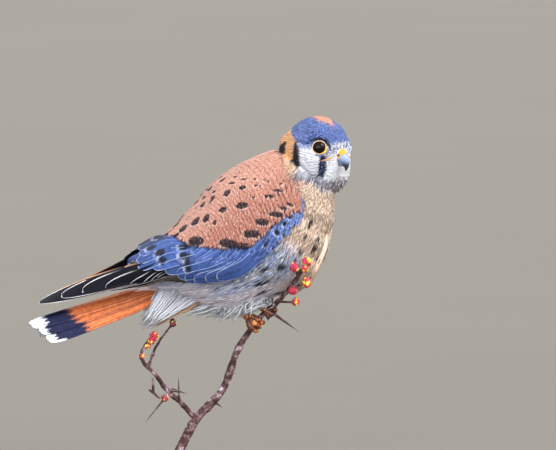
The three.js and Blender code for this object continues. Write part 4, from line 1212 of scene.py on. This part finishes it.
def tail_half(side):
    order = np.arange(6)[:, None, None]
    slope = np.array([0, side * math.cos(TAIL_TENT), -math.sin(TAIL_TENT)])
    up = np.array([0, side * math.sin(TAIL_TENT), math.cos(TAIL_TENT)])
    u = TAIL_STEPS[None, :, None]
    shorter, from_middle = TAIL_FAN[:, 0, None, None], TAIL_FAN[:, 1, None, None]
    far = -TAIL_HIDDEN + (TAIL_LONG - shorter + TAIL_HIDDEN) * u
    line = TAIL_ROOT + TAIL_BACK * far + slope * (1.6 + from_middle * (0.5 + 0.5 * u))
    line = line + up * (-1.6 - 0.25 * order + 1.6 * u)
    tone = 1 + 0.1 * ((np.arange(6) * 5) % 3 - 1)
    white_from = 1 - TAIL_FAN[:, 2, None, None] / TAIL_WHOLE
    start = (BAND_START + 0.03 * (np.arange(6) * 0.37 % 1) - 0.008 * np.arange(6))[:, None, None]

    def paint(points, u, v):
        colour = np.broadcast_to((TAIL_RUST * tone[:, None])[:, None, None], points.shape)
        edge = over(smooth_step(np.abs(v), 0.85, 1), colour)
        colour = blend(colour, TAIL_EDGE, edge * 0.7 * (v < 0))
        # The dark edge on one side of each feather is painted shadow between neighbouring feathers.
        colour = blend(colour, BLACK * 3, edge * 0.6 * (v > 0))
        jag = 0.02 * np.sin(v * 9 + order * 2.1)
        colour = blend(colour, TAIL_BAND, smooth_step(u + jag, start, start + 0.02))
        white = smooth_step(u + jag * 0.5, white_from, white_from + 0.015)
        return blend(colour, WHITE, over(white, colour))

    inner = np.array([3.0, 5.5, 5.5, 5.5, 5.5, 5.5])
    up = np.broadcast_to(up, line.shape)
    return vane_mesh(f"tail_feathers_{SIDES[side]}", line, up, inner, 4.8, paint,
                     TAIL_STEPS, long_tip, 0.2, 0.35, side)


tail_half(-1)
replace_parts(tail_half(1), "tail")

# Eyes
# Large dark wet eyes sit behind a narrow ring of bare skin, pale orange, and yellow in front.
IRIS = (0.008, 0.004, 0.003)
LID_PALE = np.array([0.90, 0.56, 0.28])
LID_YELLOW = np.array([0.90, 0.50, 0.02])
LID_OVAL = 0.93
LID_STEPS, LID_SIDES = 48, 12
iris_dark = [c * 0.5 for c in IRIS]
eye_finish = grained_material(
    "wet_eye", 0.03, 900, (0.35, IRIS), (0.7, iris_dark), Specular_IOR_Level=0.16)


def painted_material(name, roughness, spot_scale, spots=0.25, height=0.0001, **sockets):
    """Bare skin or horn: the piece's own colours, slightly mottled, with a fine relief."""
    material, tree, shader = blank_material(name, roughness, **sockets)
    grain = noise_layer(tree, object_coords(tree), spot_scale, 3)
    toned_paint(tree, shader, "tint", grain, (0.3, 0.7), (1 - spots, 1 + spots * 0.4))
    bump(tree, shader, grain, 0.4, height)
    return material


bare_skin = painted_material("bare_skin", 0.45, 900, 0.3, Subsurface_Weight=0.05)
ball = ball_directions(0.04, 28, 40)
turn, roll = crossed(full_turn(LID_STEPS), full_turn(LID_SIDES))
for side, where in SIDES.items():
    axis = EYE_AXIS * [1, side, 1]
    centre = EYE_AT * [1, side, 1] - axis * EYE_SUNK
    eye = mesh_piece(f"eyeball_{where}", *rings_form(on_head(centre + ball * EYE_BALL)), eye_finish)
    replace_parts(eye, f"eye_{where}")

    across = unit(np.cross(axis, np.array([0, 0, 1.0])))
    upright = np.cross(across, axis) * LID_OVAL
    spoke = across * np.cos(turn)[..., None] + upright * np.sin(turn)[..., None]
    frontness = smooth_step(spoke @ unit(np.array([0.9, 0, -0.25])), 0.35, 0.75)
    thick = 0.30 + 0.3 * frontness
    lift = np.sqrt(EYE_BALL**2 - dot(spoke, spoke)[..., 0] * LID_RADIUS**2) + 0.1 + 0.7 * frontness
    ring = centre + spoke * (LID_RADIUS + thick * np.cos(roll))[..., None]
    ring = ring + axis * (lift + thick * np.sin(roll))[..., None]
    i, j = crossed(np.arange(LID_STEPS), np.arange(LID_SIDES))
    row, after_row = i * LID_SIDES, (i + 1) % LID_STEPS * LID_SIDES
    after = (j + 1) % LID_SIDES
    lid_faces = np.stack([row + j, after_row + j, after_row + after, row + after], -1)
    lid_faces = lid_faces.reshape(-1, 4)
    lid_points = on_head(ring.reshape(-1, 3))
    lid = mesh_piece(f"lid_ring_{where}", lid_points, outward(lid_points, [lid_faces]), bare_skin)
    set_colours(lid, "tint", blend(LID_PALE, LID_YELLOW, frontness))

# Bill
# A short hooked bill of blue-grey horn with a black tip, set in a swollen yellow cere that holds
# the round nostrils. A thin orange edge of skin runs back from the mouth under each eye.
UPPER_BILL = np.array([  # ridge forward and up, edge forward and up, half width
    [14, 4.4, 13, -4, 5.2], [18, 3.9, 17.5, -2.4, 4.7], [21.2, 2.5, 20, -3.0, 3.9],
    [23.6, 0.4, 21.4, -4.0, 3.1], [24.9, -2.6, 22.2, -5.2, 2.3], [24.8, -5.8, 22.8, -6.5, 1.4],
    [23.7, -8.8, 23.2, -8.9, 0.3],
])
CERE = np.array([
    [13.5, 4.8, 12.5, -4.2, 5.7], [17.5, 4.5, 15.6, -3.3, 5.5], [20.2, 3.6, 17.6, -3.0, 4.8],
    [21.9, 2.6, 19.0, -2.8, 4.2], [22.1, 1.9, 19.3, -2.6, 3.6],
])
LOWER_BILL = np.array([
    [12, -3.6, 12, -7.2, 4.4], [17, -3.2, 17, -6.8, 3.6], [20, -4.0, 20, -6.6, 2.5],
    [21.8, -5.0, 21.6, -6.4, 1.1],
])
HORN_BLUE = np.array([0.24, 0.30, 0.46])
HORN_BLACK = np.array([0.02, 0.022, 0.035])
CERE_YELLOW = np.array([0.92, 0.39, 0.015])
NOSTRIL_RED = np.array([0.80, 0.25, 0.02])
NOSTRIL_AT = (19.4, 0.6)  # forward and up
GAPE_ORANGE = (0.74, 0.30, 0.07)
GAPE_LINE = [(0.93, 0.34, -0.015), (0.88, 0.47, -0.03), (0.80, 0.58, -0.09), (0.71, 0.70, -0.14)]
GAPE_RISE = np.array([-3.2, -0.9, 0.1, -0.5])
bill_horn = painted_material(
    "bill_horn", 0.28, 300, 0.15, 0.00003, Coat_Weight=0.4, Coat_Roughness=0.15)


def bill_rings(rows, count, floor_share):
    """Rings between a ridge and an edge line, arched above and nearly flat below."""
    row = spline(rows, np.linspace(0, 1, count))
    phi = np.linspace(-math.pi, math.pi, 40, endpoint=False)
    high = np.maximum(np.cos(phi), 0) ** 0.75 + np.minimum(np.cos(phi), 0) * floor_share
    side = np.sign(np.sin(phi)) * np.abs(np.sin(phi)) ** 0.85
    ridge, edge = row[:, None, 0:2], row[:, None, 2:4]
    plane = edge + (ridge - edge) * high[None, :, None]
    return np.stack([plane[..., 0], row[:, 4:5] * side[None], plane[..., 1]], -1)


def with_poles(rings):
    return np.concatenate([rings.reshape(-1, 3), rings[[0, -1]].mean(axis=1)])


def one_tint(piece, colour):
    set_colours(piece, "tint", np.broadcast_to(colour, (len(piece.data.vertices), 3)))


upper = bill_rings(UPPER_BILL, 40, 0.10)
upper_bill = mesh_piece("upper_bill", *rings_form(on_head(upper)), bill_horn)
flat = with_poles(upper)
edge_shade = smooth_step(-flat[:, 2] - 0.6 * (flat[:, 0] - 20), 1.2, 2.4) * 0.6
darkness = np.maximum(smooth_step(-flat[:, 2], 1.8, 5.5), edge_shade)
set_colours(upper_bill, "tint", HORN_BLUE + (HORN_BLACK - HORN_BLUE) * darkness[:, None])
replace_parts(upper_bill, "bill_upper")
lower = bill_rings(LOWER_BILL[:, [2, 3, 0, 1, 4]], 16, 0.12)
lower_bill = mesh_piece("lower_bill", *rings_form(on_head(lower)), bill_horn)
one_tint(lower_bill, HORN_BLUE * 0.7)
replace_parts(lower_bill, "bill_lower")
cere_rings = bill_rings(CERE, 24, 0.06)
cere = mesh_piece("cere_skin", *rings_form(on_head(cere_rings)), bare_skin)
flat = with_poles(cere_rings)
nostril_gap = np.hypot(flat[:, 0] - NOSTRIL_AT[0], flat[:, 2] - NOSTRIL_AT[1])
cere_paint = np.broadcast_to(CERE_YELLOW, flat.shape)
cere_paint = blend(cere_paint, NOSTRIL_RED, fade(nostril_gap, 0.8, 1.9) * 0.8)
set_colours(cere, "tint", cere_paint)
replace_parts(cere, "cere")


def tube_form(path, radii, around=10, steps=6):
    """A round closed tube along a smooth path."""
    place = np.linspace(0, 1, steps * (len(path) - 1) + 1)
    line = spline(np.array(path, float), place)
    radius = spline(np.array(radii, float).reshape(-1, 1), place)
    along = unit(np.gradient(line, axis=0))
    side = unit(np.cross(along, np.array([0.31, 0.17, 0.93])))
    other = np.cross(along, side)
    turn = full_turn(around)[None, :, None]
    spoke = side[:, None] * np.cos(turn) + other[:, None] * np.sin(turn)
    return rings_form(line[:, None] + spoke * radius[:, None])


for side, where in SIDES.items():
    rise = GAPE_RISE - 0.6 * (side > 0)
    path = head_point(unit(np.array(GAPE_LINE) * [1, side, 1]), rise)
    gape = mesh_piece(f"gape_edge_{where}", *tube_form(path, [0.35, 0.6, 0.5, 0.2]), bare_skin)
    one_tint(gape, GAPE_ORANGE)
    # Each nostril is a black plug through the cere, painted as the shade inside its opening.
    hole = on_head(np.array([[19.7, 4.3 * side, 0.6], [19.4, 2.4 * side, 0.6]]))
    nostril = mesh_piece(f"nostril_{where}", *tube_form(hole, [0.75, 0.75], 20, 2), bill_horn)
    one_tint(nostril, HORN_BLACK * 0.5)

# Under-tail wisps
# Long loose white feathers hang from the vent below the tail, with a brown edge underneath, and
# a second tuft hangs between the thighs.
WISP_BROWN = np.array([0.55, 0.30, 0.16])
WISPS = [  # name, count, root, how far the roots spread, tips' middle, their spread, brown, fringe
    ("vent_wisps", 700, (-50, -9, 21), (15, 8, 4), (-74, -9, 1.5), (5, 4, 3.5), 0.12, 0),
    ("belly_wisps", 400, (-13, -9, 15), (22, 9, 3), (-23, -8, 1.5), (32, 4, 2), -1, 9),
]


def wisp_coat(name, count, root_at, root_spread, tip_at, tip_spread, brown, fringe, seed):
    rng = np.random.default_rng(seed)
    shift = rng.uniform(-1, 1, (count, 3))
    root = np.array(root_at) + shift * root_spread
    tip = np.array(tip_at) + (shift * 0.6 + rng.uniform(-0.4, 0.4, (count, 3))) * tip_spread
    tip[:, 2] += fringe * np.abs(shift[:, 0])
    tip = root + (tip - root) * rng.uniform(0.5, 1.0, (count, 1))
    u = TUFT_STEPS[None, :, None]
    line = root[:, None] + (tip - root)[:, None] * u - np.array([0, 0, 3.0]) * (u * (1 - u))
    out = np.broadcast_to(unit(np.array([0.1, -0.85, 0.5])), root.shape)
    second = rng.random(count)
    under = (shift[:, 0] - shift[:, 2]) / 2 > 1 - 2.2 * brown
    colour = WHITE * (1 - 0.35 * (fringe > 0) * second)[:, None]
    colour = np.where(under[:, None], WISP_BROWN, colour)
    colour = np.repeat(colour[:, None], 4, axis=1)
    bake = np.stack([0.75 + 0.05 * shift[:, 0], 0.5 + 0.05 * shift[:, 1]], -1)
    tuft_mesh(name, line, out, 1.0 + 0.5 * second, colour, bake)


for number, settings in enumerate(WISPS):
    wisp_coat(*settings, 90 + number)

# Feet
# Short strong toes of scaly orange skin with brown between the scales grip the twig, three in
# front and one behind on each foot.
FOOT_ORANGE = (0.86, 0.36, 0.09)
FOOT_RED = (0.62, 0.19, 0.035)
FOOT_BROWN = (0.10, 0.022, 0.008)
FLESH_THICK = 0.00035


def finished_copy(name, nodes, voxel, smoothing, material):
    """A fine smooth copy of some of the solids, welded into one closed mesh."""
    points, faces, count = [], [], 0
    for node_name in nodes:
        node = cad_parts[node_name]
        node.data.calc_loop_triangles()
        matrix = np.array(node.matrix_world)
        flat = np.empty(len(node.data.vertices) * 3)
        node.data.vertices.foreach_get("co", flat)
        corners = np.empty(len(node.data.loop_triangles) * 3, np.int32)
        node.data.loop_triangles.foreach_get("vertices", corners)
        points.append(flat.reshape(-1, 3) @ matrix[:3, :3].T + matrix[:3, 3])
        faces.append(corners.reshape(-1, 3) + count)
        count += len(node.data.vertices)
    points = np.concatenate(points) * 1000 - GRIP
    piece = mesh_piece(name, points, [np.concatenate(faces)], material, None)
    select_only(piece)
    bpy.ops.object.mode_set(mode="EDIT")
    bpy.ops.mesh.select_all(action="SELECT")
    bpy.ops.mesh.remove_doubles(threshold=1e-6)
    bpy.ops.object.mode_set(mode="OBJECT")
    weld(piece, voxel, smoothing)
    return piece


def add_scales(tree, shader, scale, strength, distance):
    """Raised scales, one in each cell."""
    cells = tree.nodes.new("ShaderNodeTexVoronoi")
    cells.inputs["Scale"].default_value = scale
    tree.links.new(object_coords(tree), cells.inputs["Vector"])
    bump(tree, shader, cells.outputs["Distance"], strength, distance)
    return cells.outputs["Distance"]


foot_skin, foot_tree, foot_shader = blank_material("foot_skin", 0.45)
foot_cells = add_scales(foot_tree, foot_shader, 750, -0.8, 0.0004)
foot_blotch = noise_layer(foot_tree, object_coords(foot_tree), 260, 3)
foot_mix = foot_tree.nodes.new("ShaderNodeMath")
foot_mix.operation = "MULTIPLY_ADD"
foot_mix.inputs[1].default_value = 0.35
foot_tree.links.new(foot_cells, foot_mix.inputs[0])
foot_tree.links.new(foot_blotch, foot_mix.inputs[2])
foot_stops = (0.42, FOOT_ORANGE), (0.56, FOOT_RED), (0.70, FOOT_BROWN)
foot_colour = ramp(foot_tree, foot_mix.outputs[0], *foot_stops)
foot_tree.links.new(foot_colour, foot_shader.inputs["Base Color"])
for where in SIDES.values():
    foot = finished_copy(f"toes_{where}", [f"foot_{where}"], 0.00035, 4, foot_skin)
    flesh = foot.modifiers.new("flesh", "DISPLACE")
    flesh.strength = FLESH_THICK
    flesh.mid_level = 0
    bpy.ops.object.modifier_apply(modifier="flesh")
    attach(foot, "root")
    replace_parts(foot, f"foot_{where}")

# Claws
# Each toe ends in a curved, needle-sharp claw of polished black horn.
CLAW_BLACK = (0.012, 0.011, 0.014)
CLAW_GREY = (0.035, 0.030, 0.032)
claw_horn = grained_material("claw_horn", 0.18, 500, (0.35, CLAW_BLACK), (0.7, CLAW_GREY),
                             Coat_Weight=0.6, Coat_Roughness=0.08)
for where in SIDES.values():
    claw_nodes = [f"claw_{where}_{number}" for number in (1, 2, 3, 4)]
    claws = finished_copy(f"claws_{where}", claw_nodes, 0.0002, 3, claw_horn)
    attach(claws, "root")
    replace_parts(claws, *claw_nodes)

# Twig
# A thorny twig with dark purplish bark, cut off just below the picture, and a forked side twig
# that grows from it. The bark is finely cracked, and pale grey-lilac highlights are painted on it.
BARK_BLACK = (0.018, 0.007, 0.008)
BARK_BROWN = (0.075, 0.032, 0.030)
BARK_GREY = (0.22, 0.14, 0.15)
BARK_HIGHLIGHT_LILAC = (0.66, 0.57, 0.72)
bark, bark_tree, bark_shader = blank_material("twig_bark", 0.75, Specular_IOR_Level=0.3)
bark_coarse = noise_layer(bark_tree, object_coords(bark_tree), 230, 5, 0.7)
bark_fine = noise_layer(bark_tree, object_coords(bark_tree), 900, 4, 0.6)
# The lightest, lilac stop paints highlights onto the bark at random places.
bark_stops = (0.34, BARK_BLACK), (0.50, BARK_BROWN), (0.59, BARK_GREY), (0.68, BARK_HIGHLIGHT_LILAC)
bark_colour = ramp(bark_tree, bark_coarse, *bark_stops)
bark_tree.links.new(bark_colour, bark_shader.inputs["Base Color"])
bump(bark_tree, bark_shader, bark_fine, 0.6, 0.0004)
bark_relief = bpy.data.textures.new("bark_relief", "CLOUDS")
bark_relief.noise_scale = 0.0028
bark_relief.noise_depth = 3
for name, node_name in (("twig", "perch_twig"), ("side_twig", "perch_side_twig")):
    twig = finished_copy(name, [node_name], 0.0004, 2, bark)
    relief = twig.modifiers.new("relief", "DISPLACE")
    relief.texture = bark_relief
    relief.texture_coords = "LOCAL"
    relief.strength = 0.0009
    bpy.ops.object.modifier_apply(modifier="relief")
    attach(twig, "root")
    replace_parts(twig, node_name)

# Thorns
# Straight sharp thorns and a strip of peeled bark stand out from both twigs, in the same dark
# bark, and each tapers from its root in the wood to a fine point.
THORNS = np.array([  # root, tip, radius at the root
    [8.2, -10.6, 6.5, 24.2, -14, -5.5, 1.1], [-58.4, -1.2, -44.4, -71.9, -3, -59.1, 0.8],
    [-49.2, -1, -46.5, -49.3, 1, -31.6, 0.7], [-57.4, -2, -37.7, -44.5, -3, -42.4, 0.7],
    [-11.6, 1.5, -20.5, -13.8, -1, -33.8, 0.6],
])
for number, thorn in enumerate(THORNS):
    share = np.array([0, 0.35, 0.7, 1.0])
    path = thorn[None, 0:3] + (thorn[3:6] - thorn[0:3]) * share[:, None]
    piece = mesh_piece(f"thorn_{number + 1}", *tube_form(path, thorn[6] * (1.05 - share)), bark)

# Buds
# Tight clusters of red bud scales with yellow-green hearts sit along both twigs.
BUDS = np.array([  # place and radius
    [13.6, -36.2, 37.4, 2.9], [20.8, -38.6, 40.8, 3.0], [19.6, -38.4, 36.6, 2.4],
    [22.1, -34.4, 27.6, 3.1], [15.2, -28.4, 22.2, 2.8], [18.4, -24, 14.8, 2.6],
])
SIDE_BUDS = np.array([
    [-67.3, -8, -5.2, 2.9], [-69.4, -7.6, -8.2, 2.4], [-71.6, -7.4, -11.2, 2.0],
    [-58.4, -1.2, -44.4, 2.2], [-55.3, -8, 2.8, 2.2], [-74.6, -5.8, -17, 1.9],
])
BUD_RED = np.array([0.60, 0.025, 0.07])
BUD_YELLOW = np.array([0.80, 0.66, 0.06])
SCALES_EACH = 26
GOLDEN_ANGLE = 2.39996  # radians from one scale to the next
bud_skin = painted_material("bud_scales", 0.4, 1200, 0.35)
scale_ball = ball_directions(0.1, 7, 9)


def bud_cluster(name, table, seed):
    rng = np.random.default_rng(seed)
    points, quads, tris, tints, count = [], [], [], [], 0
    for *centre, radius in table:
        for number in range(SCALES_EACH):
            height = 1 - 2 * (number + 0.5) / SCALES_EACH
            way = way_out(height, number * GOLDEN_ANGLE)
            size = radius * rng.uniform(0.30, 0.42)
            place = np.array(centre) + way * (radius - size) * rng.uniform(0.9, 1.15)
            form, faces = rings_form(place + scale_ball * size * [1, 1, 1.25])
            yellow = rng.random() < 0.3
            tint = (BUD_YELLOW if yellow else BUD_RED) * rng.uniform(0.6, 1.2)
            points.append(form)
            quads.append(faces[0] + count)
            tris.append(faces[1] + count)
            tints.append(np.broadcast_to(tint, form.shape))
            count += len(form)
    faces = [np.concatenate(quads), np.concatenate(tris)]
    buds = mesh_piece(name, np.concatenate(points), faces, bud_skin)
    set_colours(buds, "tint", np.concatenate(tints))


bud_cluster("buds", BUDS, 7)
bud_cluster("side_buds", SIDE_BUDS, 8)

# Stand
# A round base of waxed dark wood with an eased edge, and a short brass rod in a brass collar that
# holds the cut end of the twig.
BASE_RADIUS = 0.056
BASE_THICK = 0.010
ROD_AT = (-0.0296, 0.0045)
ROD_RADIUS = 0.002
ROD_TOP = 0.0257
COLLAR_RADIUS = 0.0038
COLLAR_TOP = 0.0122
JOINT_GAP = 0.0001
BRASS_DULL = (0.56, 0.41, 0.17)
BRASS_BRIGHT = (0.68, 0.52, 0.25)
WOOD_DARK = (0.055, 0.025, 0.014)
WOOD_BROWN = (0.14, 0.068, 0.036)
WOOD_LIGHT = (0.20, 0.105, 0.058)
wood, wood_tree, wood_shader = blank_material(
    "waxed_wood", 0.32, Coat_Weight=0.3, Coat_Roughness=0.2)
wood_lie = wood_tree.nodes.new("ShaderNodeMapping")
wood_lie.inputs["Scale"].default_value = (6, 60, 60)
wood_tree.links.new(object_coords(wood_tree), wood_lie.inputs["Vector"])
wood_grain = noise_layer(wood_tree, wood_lie.outputs["Vector"], 4, 6, 0.65)
wood_colour = ramp(wood_tree, wood_grain, (0.32, WOOD_DARK), (0.55, WOOD_BROWN), (0.75, WOOD_LIGHT))
wood_tree.links.new(wood_colour, wood_shader.inputs["Base Color"])
bump(wood_tree, wood_shader, wood_grain, 0.15, 0.0002)
brass = grained_material(
    "satin_brass", 0.3, 700, (0.35, BRASS_DULL), (0.7, BRASS_BRIGHT), Metallic=1.0)


def turned_piece(name, radius, low, high, place, edge, material, slot, *nodes):
    bpy.ops.mesh.primitive_cylinder_add(
        vertices=96, radius=radius, depth=high - low, location=(*place, (low + high) / 2))
    piece = bpy.context.object
    piece.name = name
    bpy.ops.object.transform_apply(location=True, rotation=True, scale=True)
    rounding = piece.modifiers.new("eased_edge", "BEVEL")
    rounding.width = edge
    rounding.segments = 4
    bpy.ops.object.modifier_apply(modifier="eased_edge")
    piece.data.materials.append(material)
    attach(piece, "root")
    if nodes:
        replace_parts(piece, *nodes)


turned_piece("wooden_base", BASE_RADIUS, 0, BASE_THICK, (0, 0), 0.0022,
             wood, "stand_wood", "stand_base")
on_base = BASE_THICK + JOINT_GAP
turned_piece("brass_rod", ROD_RADIUS, on_base, ROD_TOP, ROD_AT, 0.0003,
             brass, "stand_metal", "stand_rod")
turned_piece("brass_collar", COLLAR_RADIUS, on_base, COLLAR_TOP, ROD_AT, 0.0005,
             brass, "stand_metal")
